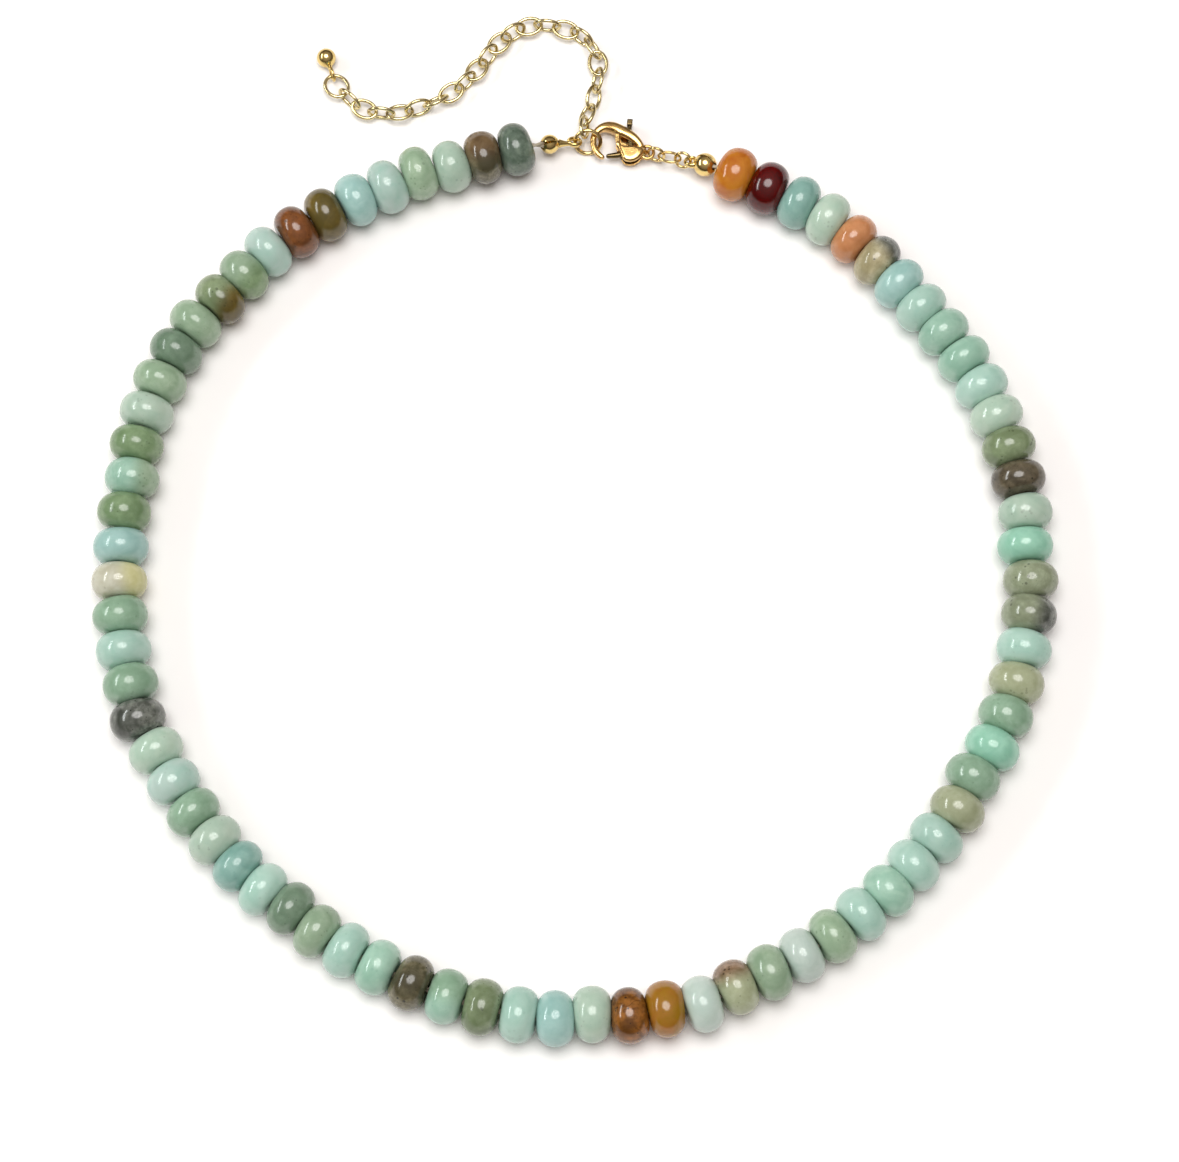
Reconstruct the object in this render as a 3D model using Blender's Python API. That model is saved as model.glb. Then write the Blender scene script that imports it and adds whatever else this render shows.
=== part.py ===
"""Beaded necklace lying in a ring, fastened: two runs of stone beads, a lobster clasp and an extender chain.

Metres, +Z up, the surface at z = 0. +X is the wearer's clasp side to the right, -Y the front of the ring.
"""

import math

import bmesh
import bpy
import numpy as np
from mathutils import Matrix

for old in list(bpy.data.objects):
    bpy.data.objects.remove(old, do_unlink=True)

MM = 0.001
GAP = 0.3 * MM  # clearance left between pieces that touch in the real necklace

# Beads: rounded rondelles, drilled along their short axis and threaded face to face.
BEAD_COUNT = 75
LEFT_RUN = 38  # beads from the left end of the clasp to the front of the ring
BEAD_RADIUS = 4.0 * MM
BEAD_FACE_SHARE = 0.57  # the flat end faces, as a share of the radius
BEAD_SIDES = 12
THREAD_RADIUS = 0.3 * MM
# (distance from the bead's middle as a share of its half length, radius as a share of BEAD_RADIUS)
BEAD_PROFILE = [(-0.70, 0.865), (-0.22, 1.0), (0.22, 1.0), (0.70, 0.865)]

# Chosen points of the ring, in millimetres: bead number, x, y of that bead's centre.
PLAN_CENTRE_MM = (-2.03, 9.37)
BEAD_ROUTE_MM = [
    (1, -10.7, 63.7),
    (5, -29.2, 57.9),
    (9, -46.2, 48.0),
    (14, -61.2, 28.4),
    (19, -66.0, 3.9),
    (23, -64.0, -16.0),
    (28, -51.7, -38.1),
    (33, -33.3, -53.4),
    (38, -9.7, -62.3),
    (45, 24.7, -56.5),
    (51, 47.9, -37.8),
    (57, 60.8, -10.9),
    (62, 60.7, 13.8),
    (66, 53.4, 31.8),
    (69, 44.4, 43.1),
    (72, 34.4, 52.9),
    (75, 21.1, 59.8),
]
# Beads that sit out of the ring's line: bead number and how far outwards, in millimetres.
BEADS_OUT_OF_LINE_MM = {
    4: 0.4,
    10: -0.4,
    11: -0.5,
    17: -0.4,
    24: 0.55,
    31: -0.45,
    40: -0.6,
    43: 0.65,
    53: -0.55,
    60: -0.6,
}

# Extender chain: oval cable links, numbered from the ball at its loose end.
LINK_WIRE = 0.46 * MM
LINK_LENGTH = 4.25 * MM
LINK_WIDTH = 3.05 * MM
LINK_SIDES = 5
LINK_SEGMENTS = 12
END_LINK_WIDTH = 3.7 * MM
LINK_LIFT = 1.3 * MM  # least height of a link's middle, as its neighbours on edge carry it
LINK_ROUTE_MM = [
    (1, -37.0, 74.6),
    (3, -32.9, 71.0),
    (5, -27.7, 70.5),
    (7, -22.5, 72.3),
    (9, -18.2, 75.2),
    (12, -13.2, 81.4),
    (14, -8.9, 84.0),
    (16, -3.5, 83.5),
    (18, 0.5, 80.6),
    (20, 1.2, 75.5),
    (22, -0.3, 70.1),
]
# How far each link is rolled about the chain's line, in degrees: 0 lies flat, 90 stands on edge.
LINK_ROLLS = [-5, 75, 5, 80, -20, 60, 125, 180]
LINK_ROLLS += [250, 175, 240, 180, 240, 180, 260, 180]
LINK_ROLLS += [250, 305, 365, 420, 490, 585, 655]

# Jump ring that ties the left bead tip, the hook and the chain together.
JUMP_CENTRE_MM = (-0.25, 65.75)
JUMP_RADIUS = 1.85 * MM  # to the middle of the wire
JUMP_WIRE = 0.6 * MM
JUMP_TILT = 48.0  # degrees, its back edge raised
JUMP_HANG = 110.0  # degrees round the ring, from its right end, where the chain hangs

# Three small rings from the clasp's eye to the right bead tip, each rolled about that line, in degrees.
RING_WIRE = 0.45 * MM
NEAR_RADIUS = 1.2 * MM
NEAR_ROLL = 66.0
OVAL_HALF_LENGTH = 1.6 * MM
OVAL_HALF_WIDTH = 1.1 * MM
OVAL_ROLL = -30.0
FAR_RADIUS = 1.15 * MM
FAR_ROLL = 50.0

# Bead tips: clamshell cups that hide the knots, each beyond the thread's bare stretch at the last bead.
TIP_LEFT_RADIUS = 1.4 * MM
TIP_LEFT_BARE = 1.42 * MM  # thread that shows between the bead and the cup
TIP_LEFT_DROP = 1.4 * MM  # from the beads' middle height down to the cup's
TIP_RIGHT_RADIUS = 1.7 * MM
TIP_RIGHT_BARE = 0.63 * MM
TIP_RIGHT_DROP = 1.1 * MM
TIP_BORE = THREAD_RADIUS + GAP
TIP_SLIT = 0.35 * MM
LOOP_RADIUS = 0.9 * MM  # the loops that the cups' necks end in
LEFT_LOOP_ROLL = -35.0  # degrees about the cup's own line
RIGHT_LOOP_ROLL = -30.0
LEFT_SLIT_UP = (0.0, 0.5, 1.0)  # the side that each cup's slit opens to
RIGHT_SLIT_UP = (0.3, -0.8, 0.6)

# Ball at the loose end of the extender, with its eye through the first link.
END_BALL_MM = (-38.9, 79.9)
END_BALL_RADIUS = 1.4 * MM
BALL_EYE_RADIUS = 0.95 * MM
BALL_EYE_ROLL = 85.0
BALL_NECK = 0.35 * MM

# Lobster clasp, drawn in its own plane: u runs from the hook to the eye, v towards the hook's back.
CLASP_CENTRE_MM = (4.15, 65.67)
CLASP_TURN = -16.3  # degrees from +X to u
CLASP_HEIGHT = 1.7 * MM  # its middle plane above the surface
CLASP_HALF_THICKNESS = 1.3 * MM
PIVOT_UV_MM = (2.35, -0.95)
HOUSING_RADIUS = 1.65 * MM
HOUSING_EDGE = 0.3 * MM
PIN_RADIUS = 0.28 * MM
PIN_HEAD_RADIUS = 0.5 * MM
PIN_HEAD_HEIGHT = 0.12 * MM
LEVER_THICKNESS = 0.9 * MM
LEVER_ROOT_RADIUS = 0.9 * MM
ROOT_EDGE = 0.1 * MM
EYE_UV_MM = (4.5, -0.3)
EYE_RADIUS = 0.95 * MM
EYE_WIRE = 0.5 * MM
SLOT_FRONT = 2.1 * MM  # from the pivot to the slot's wall on the hook's side
SLOT_BACK = 0.8 * MM  # from the pivot to its wall on the eye's side, behind the thumb tab's stem
SLOT_TOP = 5.0 * MM  # from the pivot past the hook's back, which the slot cuts through
RECESS_EDGE = 0.05 * MM
TAB_UV_MM = (0.83, 3.28)
TAB_HALF_SIZES = (0.40 * MM, 0.45 * MM, 0.8 * MM)
TAB_LEAN = 12.0  # degrees towards the hook
TAB_EDGE = 0.2 * MM


def material(name, colour, metallic, roughness):
    made = bpy.data.materials.new(name)
    made.use_nodes = True
    shader = made.node_tree.nodes["Principled BSDF"]
    shader.inputs["Base Color"].default_value = (*colour, 1.0)
    shader.inputs["Metallic"].default_value = metallic
    shader.inputs["Roughness"].default_value = roughness
    made.diffuse_color = (*colour, 1.0)
    return made


STONE_LEFT = material("stone_left", (0.42, 0.52, 0.40), 0.0, 0.22)
STONE_RIGHT = material("stone_right", (0.50, 0.60, 0.50), 0.0, 0.22)
CHAIN_GOLD = material("chain_gold", (0.83, 0.66, 0.36), 1.0, 0.25)
RING_GOLD = material("ring_gold", (0.84, 0.64, 0.32), 1.0, 0.25)
TIP_GOLD = material("tip_gold", (0.85, 0.65, 0.32), 1.0, 0.28)
CLASP_GOLD = material("clasp_gold", (0.86, 0.62, 0.26), 1.0, 0.22)
LEVER_GOLD = material("lever_gold", (0.87, 0.64, 0.28), 1.0, 0.22)


def unit(vector):
    return vector / np.linalg.norm(vector)


def plan(point_mm, height=0.0):
    """A point of the plan, in millimetres, as metres from the origin below the middle of the necklace."""
    x = (point_mm[0] - PLAN_CENTRE_MM[0]) * MM
    y = (point_mm[1] - PLAN_CENTRE_MM[1]) * MM
    return np.array([x, y, height])


def natural_spline(knots, values, at):
    """Cubic through the values at the knots, with no bending at either end."""
    knots = np.asarray(knots, float)
    values = np.asarray(values, float)
    step = np.diff(knots)
    slope = np.diff(values, axis=0) / step[:, None]
    count = len(knots)
    matrix = np.eye(count)
    right = np.zeros_like(values)
    for i in range(1, count - 1):
        matrix[i, i - 1] = step[i - 1]
        matrix[i, i] = 2 * (step[i - 1] + step[i])
        matrix[i, i + 1] = step[i]
        right[i] = 6 * (slope[i] - slope[i - 1])
    bend = np.linalg.solve(matrix, right)
    at = np.asarray(at, float)
    i = np.clip(np.searchsorted(knots, at) - 1, 0, count - 2)
    h = step[i][:, None]
    a = (knots[i + 1] - at)[:, None] / h
    b = 1 - a
    curve = (a**3 - a) * bend[i] + (b**3 - b) * bend[i + 1]
    return a * values[i] + b * values[i + 1] + curve * h**2 / 6


def face_outwards(mesh):
    closed = bmesh.new()
    closed.from_mesh(mesh)
    bmesh.ops.recalc_face_normals(closed, faces=closed.faces)
    closed.to_mesh(mesh)
    closed.free()
    mesh.update()


def add_object(name, points, faces, mat, origin=None):
    """One mesh object; its origin is at the world's, or at a given point."""
    points = np.asarray(points, float)
    if origin is not None:
        points = points - np.asarray(origin)
    mesh = bpy.data.meshes.new(name)
    mesh.from_pydata([tuple(p) for p in points], [], faces)
    face_outwards(mesh)
    made = bpy.data.objects.new(name, mesh)
    if origin is not None:
        made.location = tuple(origin)
    mesh.materials.append(mat)
    bpy.context.scene.collection.objects.link(made)
    shade(made)
    return made


def shade(obj, angle=40.0):
    """Smooth shading, with edges sharper than the angle kept crisp."""
    obj.data.shade_smooth()
    obj.data.set_sharp_from_angle(angle=math.radians(angle))


def skin(rings, closed=False, caps=True):
    """Faces between equal rings in turn, with both ends capped or the last ring tied to the first."""
    sides = len(rings[0])
    count = len(rings)
    points = np.concatenate(rings)
    faces = []
    for i in range(count if closed else count - 1):
        for j in range(sides):
            k = (j + 1) % sides
            m = (i + 1) % count
            faces.append((i * sides + j, i * sides + k, m * sides + k, m * sides + j))
    if caps and not closed:
        faces.append(tuple(reversed(range(sides))))
        faces.append(tuple((count - 1) * sides + j for j in range(sides)))
    return points, faces


def circle(centre, side, up, radius, sides, radius_up=None, turn=0.0):
    """A ring of points around the centre, in the plane of side and up."""
    angle = 2 * np.pi * (np.arange(sides) + turn) / sides
    radius_up = radius if radius_up is None else radius_up
    return centre + radius * np.cos(angle)[:, None] * side + radius_up * np.sin(angle)[:, None] * up


def combine(base, tool, operation):
    """Applies one exact Boolean to the base and removes the tool."""
    modifier = base.modifiers.new("cut", "BOOLEAN")
    modifier.operation = operation
    modifier.solver = "EXACT"
    modifier.object = tool
    graph = bpy.context.evaluated_depsgraph_get()
    made = bpy.data.meshes.new_from_object(base.evaluated_get(graph))
    base.modifiers.clear()
    base.data = made
    bpy.data.objects.remove(tool, do_unlink=True)
    shade(base)
    return base


# Bead runs: one solid each, because the beads of a run sit face to face.


def bead_centres():
    numbers = [n for n, _, _ in BEAD_ROUTE_MM]
    places = [plan((x, y), BEAD_RADIUS) for _, x, y in BEAD_ROUTE_MM]
    centres = natural_spline(numbers, places, np.arange(1, BEAD_COUNT + 1))
    middle = plan(PLAN_CENTRE_MM, BEAD_RADIUS)
    for number, outwards in BEADS_OUT_OF_LINE_MM.items():
        away = centres[number - 1] - middle
        centres[number - 1] += outwards * MM * unit(away)
    return centres


CENTRES = bead_centres()


def face_centre(number, neighbour):
    """The middle of an end bead's outer face, on the side away from its neighbour."""
    step = CENTRES[number - 1] - CENTRES[neighbour - 1]
    return CENTRES[number - 1] + step / 2 - unit(step) * GAP / 2


FACE_LEFT = face_centre(1, 2)
FACE_RIGHT = face_centre(BEAD_COUNT, BEAD_COUNT - 1)


def bead_run(name, first, last, mat):
    """Beads first to last, turned about their thread, and the thread's bare end at the clasp."""
    up = np.array([0.0, 0.0, 1.0])
    flat_down = 0.5  # half a side's turn, so that a facet and not an edge lies on the surface
    corner = 1 / math.cos(math.pi / BEAD_SIDES)
    rings = []

    def ring(centre, along, radius):
        side = unit(np.cross(along, up))
        rings.append(circle(centre, side, up, radius * corner, BEAD_SIDES, turn=flat_down))

    def between(a, b):
        return (CENTRES[a - 1] + CENTRES[b - 1]) / 2, unit(CENTRES[b - 1] - CENTRES[a - 1])

    face_radius = BEAD_RADIUS * BEAD_FACE_SHARE
    for number in range(first, last + 1):
        before = max(number - 1, 1)
        after = min(number + 1, BEAD_COUNT)
        centre = CENTRES[number - 1]
        along = unit(CENTRES[after - 1] - CENTRES[before - 1])
        half = np.linalg.norm(CENTRES[after - 1] - CENTRES[before - 1]) / (after - before) / 2
        if number == 1:
            ring(FACE_LEFT, along, face_radius)
        else:
            middle, across = between(number - 1, number)
            ring(middle + across * (GAP / 2 if number == first else 0.0), across, face_radius)
        for share, radius in BEAD_PROFILE:
            ring(centre + along * half * share, along, BEAD_RADIUS * radius)
        if number == BEAD_COUNT:
            ring(FACE_RIGHT, along, face_radius)
        elif number == last:
            middle, across = between(number, number + 1)
            ring(middle - across * GAP / 2, across, face_radius)
    ends = THREAD_ENDS[name]
    if ends["at_start"]:
        along = unit(ends["face"] - ends["inside"])
        side = unit(np.cross(along, up))
        lift = np.cross(side, along)
        for point in (ends["face"], ends["inside"]):
            rings.insert(0, circle(point, side, lift, THREAD_RADIUS, BEAD_SIDES, turn=flat_down))
    else:
        along = unit(ends["inside"] - ends["face"])
        side = unit(np.cross(along, up))
        lift = np.cross(side, along)
        for point in (ends["face"], ends["inside"]):
            rings.append(circle(point, side, lift, THREAD_RADIUS, BEAD_SIDES, turn=flat_down))
    points, faces = skin(rings)
    return add_object(name, points, faces, mat)


def tip_centre(number, neighbour, face, radius, bare, drop):
    """The middle of a bead tip's cup, in line with the end bead and lower than it."""
    out = unit(CENTRES[number - 1] - CENTRES[neighbour - 1])
    return face + out * (radius + bare) - np.array([0.0, 0.0, drop])


TIP_LEFT = tip_centre(1, 2, FACE_LEFT, TIP_LEFT_RADIUS, TIP_LEFT_BARE, TIP_LEFT_DROP)
TIP_RIGHT = tip_centre(
    BEAD_COUNT, BEAD_COUNT - 1, FACE_RIGHT, TIP_RIGHT_RADIUS, TIP_RIGHT_BARE, TIP_RIGHT_DROP
)


def thread_end(face, tip, radius):
    """Where the thread stops inside a bead tip: half the cup's radius from its middle."""
    return tip + unit(face - tip) * radius * 0.5


THREAD_ENDS = {
    "bead_run_left": {
        "at_start": True,
        "face": FACE_LEFT,
        "inside": thread_end(FACE_LEFT, TIP_LEFT, TIP_LEFT_RADIUS),
    },
    "bead_run_right": {
        "at_start": False,
        "face": FACE_RIGHT,
        "inside": thread_end(FACE_RIGHT, TIP_RIGHT, TIP_RIGHT_RADIUS),
    },
}

bead_run("bead_run_left", 1, LEFT_RUN, STONE_LEFT)
bead_run("bead_run_right", LEFT_RUN + 1, BEAD_COUNT, STONE_RIGHT)


# Wire rings and links.
def wire_loop(centre, along, across, half_length, half_width, wire, segments=LINK_SEGMENTS, sides=LINK_SIDES):
    """Rings of points round an oval of wire; the half sizes run to the middle of the wire."""
    normal = unit(np.cross(along, across))
    rings = []
    for i in range(segments):
        angle = 2 * math.pi * (i + 0.5) / segments
        middle = centre + half_length * math.cos(angle) * along + half_width * math.sin(angle) * across
        outwards = unit(half_width * math.cos(angle) * along + half_length * math.sin(angle) * across)
        rings.append(circle(middle, outwards, normal, wire / 2, sides))
    return skin(rings, closed=True)


def wire_ring(name, centre, along, across, radius, wire, mat, half_width=None):
    points, faces = wire_loop(centre, along, across, radius, half_width or radius, wire, segments=14)
    return add_object(name, points, faces, mat)


def rolled(along, roll_degrees):
    """The sideways direction of a link that runs along a line and is rolled about it."""
    level = unit(np.cross(np.array([0.0, 0.0, 1.0]), along))
    lift = np.cross(along, level)
    roll = math.radians(roll_degrees)
    return math.cos(roll) * level + math.sin(roll) * lift


# Jump ring: a round ring leaning back, with the hook through it.
JUMP_CENTRE = plan(JUMP_CENTRE_MM, JUMP_WIRE / 2 + JUMP_RADIUS * math.sin(math.radians(JUMP_TILT)))
JUMP_UP = np.array([0.0, math.cos(math.radians(JUMP_TILT)), math.sin(math.radians(JUMP_TILT))])
X_AXIS = np.array([1.0, 0.0, 0.0])
wire_ring("jump_ring", JUMP_CENTRE, X_AXIS, JUMP_UP, JUMP_RADIUS, JUMP_WIRE, RING_GOLD)

# Extender chain: the last link hangs on the raised edge of the jump ring.
LINK_HALF_LENGTH = (LINK_LENGTH - LINK_WIRE) / 2
LINK_HALF_WIDTH = (LINK_WIDTH - LINK_WIRE) / 2
END_LINK_HALF_WIDTH = (END_LINK_WIDTH - LINK_WIRE) / 2
LINK_COUNT = len(LINK_ROLLS)


def link_centres():
    """The middle of every link: low where it lies flat, higher where it stands on edge."""
    numbers = [n for n, _, _ in LINK_ROUTE_MM]
    places = [plan((x, y)) for _, x, y in LINK_ROUTE_MM]
    centres = natural_spline(numbers, places, np.arange(1, LINK_COUNT))
    for k, roll in enumerate(LINK_ROLLS[:-1]):
        standing = LINK_WIRE / 2 + LINK_HALF_WIDTH * abs(math.sin(math.radians(roll)))
        centres[k, 2] = max(standing, LINK_LIFT)
    hang = math.radians(JUMP_HANG)
    jump_top = JUMP_CENTRE + JUMP_RADIUS * (math.cos(hang) * X_AXIS + math.sin(hang) * JUMP_UP)
    away = unit(centres[-1] - jump_top)
    reach = LINK_HALF_LENGTH - (LINK_WIRE + JUMP_WIRE) / 2 - GAP * 1.5
    last = jump_top + away * reach
    return np.vstack([centres, last]), away


LINK_PLACES, LAST_AWAY = link_centres()
for k in range(LINK_COUNT):
    if k == LINK_COUNT - 1:
        direction = -LAST_AWAY
    else:
        direction = unit(LINK_PLACES[min(k + 1, LINK_COUNT - 1)] - LINK_PLACES[max(k - 1, 0)])
    width = END_LINK_HALF_WIDTH if k == 0 else LINK_HALF_WIDTH
    loop_points, loop_faces = wire_loop(
        LINK_PLACES[k], direction, rolled(direction, LINK_ROLLS[k]), LINK_HALF_LENGTH, width, LINK_WIRE
    )
    add_object(f"extender_link_{k + 1:02d}", loop_points, loop_faces, CHAIN_GOLD)


# Bead tips and the end ball: turned about an axis, with a loop of wire soldered to one side.
def turned(name, base, along, profile, mat, sides=14):
    """A solid turned about a line. The profile lists distance along it and radius, from point to point."""
    side = unit(np.cross(along, np.array([0.0, 0.05, 1.0])))
    up = np.cross(side, along)
    points = [base + profile[0][0] * along]
    for distance, radius in profile[1:-1]:
        points.extend(circle(base + distance * along, side, -up, radius, sides))
    points.append(base + profile[-1][0] * along)
    faces = []
    for j in range(sides):
        faces.append((0, 1 + (j + 1) % sides, 1 + j))
    rows = len(profile) - 2
    for i in range(rows - 1):
        for j in range(sides):
            k = (j + 1) % sides
            here = 1 + i * sides
            beyond = here + sides
            faces.append((here + j, here + k, beyond + k, beyond + j))
    last = 1 + (rows - 1) * sides
    for j in range(sides):
        faces.append((last + j, last + (j + 1) % sides, len(points) - 1))
    return add_object(name, points, faces, mat)


def sphere_profile(radius, rows, start=180.0, end=0.0):
    angles = np.radians(np.linspace(start, end, rows))
    return [(radius * math.cos(a), radius * math.sin(a)) for a in angles]


def slab(name, centre, along, across, normal, half_sizes):
    """A box with its three half sizes along three directions."""
    points = []
    for i in (-1, 1):
        for j in (-1, 1):
            for k in (-1, 1):
                corner = i * half_sizes[0] * along + j * half_sizes[1] * across + k * half_sizes[2] * normal
                points.append(centre + corner)
    faces = [(0, 1, 3, 2), (4, 6, 7, 5), (0, 4, 5, 1), (2, 3, 7, 6), (0, 2, 6, 4), (1, 5, 7, 3)]
    if np.dot(np.cross(along, across), normal) < 0:
        faces = [tuple(reversed(f)) for f in faces]
    return add_object(name, points, faces, TIP_GOLD)


def neck_and_loop(body, centre, outwards, across, radius, neck, loop_radius, wire, mat):
    """Solders a neck and a ring of wire to a ball, on the side that outwards points to."""
    start = radius * 0.8
    end = radius + neck + wire * 0.3
    neck_profile = [(start, 0), (start, wire * 0.8), (end, wire * 0.55), (end, 0)]
    combine(body, turned("neck", centre, outwards, neck_profile, mat, sides=8), "UNION")
    middle = centre + outwards * (radius + neck + loop_radius)
    points, faces = wire_loop(middle, outwards, across, loop_radius, loop_radius, wire)
    combine(body, add_object("loop", points, faces, mat), "UNION")
    return middle


def bead_tip(name, centre, face, loop_at, loop_across, radius, neck, loop_radius, slit_up, mat):
    """A clamshell cup with a slit round its open side, a bore for the thread and a loop on its other side."""
    outwards = unit(loop_at - centre)
    body = turned(name, centre, unit(face - centre), sphere_profile(radius, 9), mat)
    middle = neck_and_loop(body, centre, outwards, loop_across, radius, neck, loop_radius, RING_WIRE, mat)
    towards = unit(face - centre)
    bore = turned(
        "bore",
        centre,
        towards,
        [(radius * 0.1, 0), (radius * 0.1, TIP_BORE), (radius * 1.3, TIP_BORE), (radius * 1.3, 0)],
        mat,
        sides=10,
    )
    combine(body, bore, "DIFFERENCE")
    normal = unit(slit_up - np.dot(slit_up, towards) * towards)
    across = np.cross(towards, normal)
    plate = slab(
        "plate",
        centre + towards * radius * 0.95,
        towards,
        across,
        normal,
        (radius * 0.75, radius * 1.5, TIP_SLIT / 2),
    )
    combine(body, plate, "DIFFERENCE")
    return body, middle


JUMP_LEFT = JUMP_CENTRE - X_AXIS * (JUMP_RADIUS + LOOP_RADIUS - (JUMP_WIRE + RING_WIRE) / 2 - GAP)
LEFT_NECK = np.linalg.norm(JUMP_LEFT - TIP_LEFT) - TIP_LEFT_RADIUS - LOOP_RADIUS
LEFT_OUT = unit(JUMP_LEFT - TIP_LEFT)
bead_tip(
    "bead_tip_left",
    TIP_LEFT,
    FACE_LEFT,
    JUMP_LEFT,
    rolled(LEFT_OUT, LEFT_LOOP_ROLL),
    TIP_LEFT_RADIUS,
    LEFT_NECK,
    LOOP_RADIUS,
    np.array(LEFT_SLIT_UP),
    TIP_GOLD,
)


# Lobster clasp: hook, shoulder, housing and eye in one casting, with the pin riveted through.
CLASP_CENTRE = plan(CLASP_CENTRE_MM, CLASP_HEIGHT)
TURN = math.radians(CLASP_TURN)
U_AXIS = np.array([math.cos(TURN), math.sin(TURN), 0.0])
V_AXIS = np.array([-math.sin(TURN), math.cos(TURN), 0.0])
W_AXIS = np.array([0.0, 0.0, 1.0])


def clasp_point(u_mm, v_mm, w=0.0):
    return CLASP_CENTRE + u_mm * MM * U_AXIS + v_mm * MM * V_AXIS + w * W_AXIS


# The hook from the eye over its back to its tip, in millimetres: u, v, half breadth, half thickness.
HOOK_PATH_MM = [
    (3.75, -0.10, 0.50, 0.70),
    (3.05, 0.40, 0.80, 1.00),
    (2.10, 1.15, 0.85, 1.10),
    (0.95, 1.75, 0.72, 1.10),
    (-0.40, 2.13, 0.60, 1.00),
    (-1.70, 2.18, 0.54, 0.85),
    (-2.90, 1.72, 0.50, 0.65),
    (-3.58, 0.75, 0.47, 0.50),
    (-3.75, -0.40, 0.45, 0.46),
    (-3.45, -1.50, 0.45, 0.46),
    (-2.70, -2.35, 0.45, 0.48),
    (-1.80, -2.80, 0.40, 0.46),
    (-1.20, -2.95, 0.27, 0.36),
]


def swept(name, path_mm, mat, sides=10):
    """A bar carried along points of the clasp's plane, with its own breadth and thickness at each."""
    rings = []
    places = [clasp_point(u, v) for u, v, _, _ in path_mm]
    for i, (_, _, breadth, thickness) in enumerate(path_mm):
        along = unit(places[min(i + 1, len(places) - 1)] - places[max(i - 1, 0)])
        side = np.cross(along, W_AXIS)
        rings.append(circle(places[i], side, W_AXIS, breadth * MM, sides, radius_up=thickness * MM, turn=0.5))
    points, faces = skin(rings)
    return add_object(name, points, faces, mat)


def drum(name, centre, radius, half_height, edge, mat, sides=18):
    """A short upright cylinder with a bevelled rim."""
    profile = [
        (-half_height, 0),
        (-half_height, radius - edge),
        (-half_height + edge, radius),
        (half_height - edge, radius),
        (half_height, radius - edge),
        (half_height, 0),
    ]
    return turned(name, centre, W_AXIS, profile, mat, sides=sides)


PIVOT = clasp_point(*PIVOT_UV_MM)
EYE = clasp_point(*EYE_UV_MM)
clasp = swept("clasp_body", HOOK_PATH_MM, CLASP_GOLD)
housing = drum("housing", PIVOT, HOUSING_RADIUS, CLASP_HALF_THICKNESS, HOUSING_EDGE, CLASP_GOLD)
combine(clasp, housing, "UNION")
eye_points, eye_faces = wire_loop(EYE, U_AXIS, V_AXIS, EYE_RADIUS, EYE_RADIUS, EYE_WIRE, segments=14, sides=6)
combine(clasp, add_object("eye", eye_points, eye_faces, CLASP_GOLD), "UNION")
SLOT_REACH = LEVER_ROOT_RADIUS + GAP  # from the pivot to the slot's floor
SLOT_HALF_HEIGHT = LEVER_THICKNESS / 2 + GAP
slot = slab(
    "slot",
    PIVOT + U_AXIS * (SLOT_BACK - SLOT_FRONT) / 2 + V_AXIS * (SLOT_TOP - SLOT_REACH) / 2,
    U_AXIS,
    V_AXIS,
    W_AXIS,
    ((SLOT_BACK + SLOT_FRONT) / 2, (SLOT_TOP + SLOT_REACH) / 2, SLOT_HALF_HEIGHT),
)
combine(clasp, slot, "DIFFERENCE")
recess = drum("recess", PIVOT, SLOT_REACH, SLOT_HALF_HEIGHT, RECESS_EDGE, CLASP_GOLD, sides=20)
combine(clasp, recess, "DIFFERENCE")
pin_top = CLASP_HALF_THICKNESS + PIN_HEAD_HEIGHT
pin_profile = [
    (-pin_top, 0),
    (-pin_top, PIN_HEAD_RADIUS * 0.7),
    (-CLASP_HALF_THICKNESS + 0.1 * MM, PIN_HEAD_RADIUS),
    (-CLASP_HALF_THICKNESS + 0.2 * MM, PIN_RADIUS),
    (CLASP_HALF_THICKNESS - 0.2 * MM, PIN_RADIUS),
    (CLASP_HALF_THICKNESS - 0.1 * MM, PIN_HEAD_RADIUS),
    (pin_top, PIN_HEAD_RADIUS * 0.7),
    (pin_top, 0),
]
combine(clasp, turned("pin", PIVOT, W_AXIS, pin_profile, CLASP_GOLD, sides=10), "UNION")

# The lever: a root disc on the pin, a gate that closes the hook, and a stem to the thumb tab.
GATE_PATH_MM = [
    (1.95, -1.15, 0.50),
    (1.30, -1.47, 0.36),
    (0.50, -1.86, 0.36),
    (-0.46, -2.25, 0.30),
]
STEM_PATH_MM = [
    (2.15, -0.40, 0.50),
    (1.65, 0.90, 0.42),
    (1.10, 2.05, 0.38),
    (0.92, 2.90, 0.36),
]


def lever_arm(name, path_mm):
    bar = [(u, v, breadth, LEVER_THICKNESS / MM / 2) for u, v, breadth in path_mm]
    return swept(name, bar, LEVER_GOLD, sides=8)


lever = lever_arm("clasp_lever", GATE_PATH_MM)
root = drum("root", PIVOT, LEVER_ROOT_RADIUS, LEVER_THICKNESS / 2, ROOT_EDGE, LEVER_GOLD, sides=16)
combine(lever, root, "UNION")
combine(lever, lever_arm("stem", STEM_PATH_MM), "UNION")
tab_lean = math.radians(TAB_LEAN)
TAB_UP = math.cos(tab_lean) * V_AXIS - math.sin(tab_lean) * U_AXIS
TAB_ALONG = np.cross(TAB_UP, W_AXIS)
tab = slab("tab", clasp_point(*TAB_UV_MM), TAB_ALONG, TAB_UP, W_AXIS, TAB_HALF_SIZES)
bevel = tab.modifiers.new("edges", "BEVEL")
bevel.width = TAB_EDGE
bevel.segments = 2
combine(lever, tab, "UNION")
hole_half = LEVER_THICKNESS
hole_profile = [
    (-hole_half, 0),
    (-hole_half, PIN_RADIUS + GAP),
    (hole_half, PIN_RADIUS + GAP),
    (hole_half, 0),
]
combine(lever, turned("hole", PIVOT, W_AXIS, hole_profile, LEVER_GOLD, sides=12), "DIFFERENCE")
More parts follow.
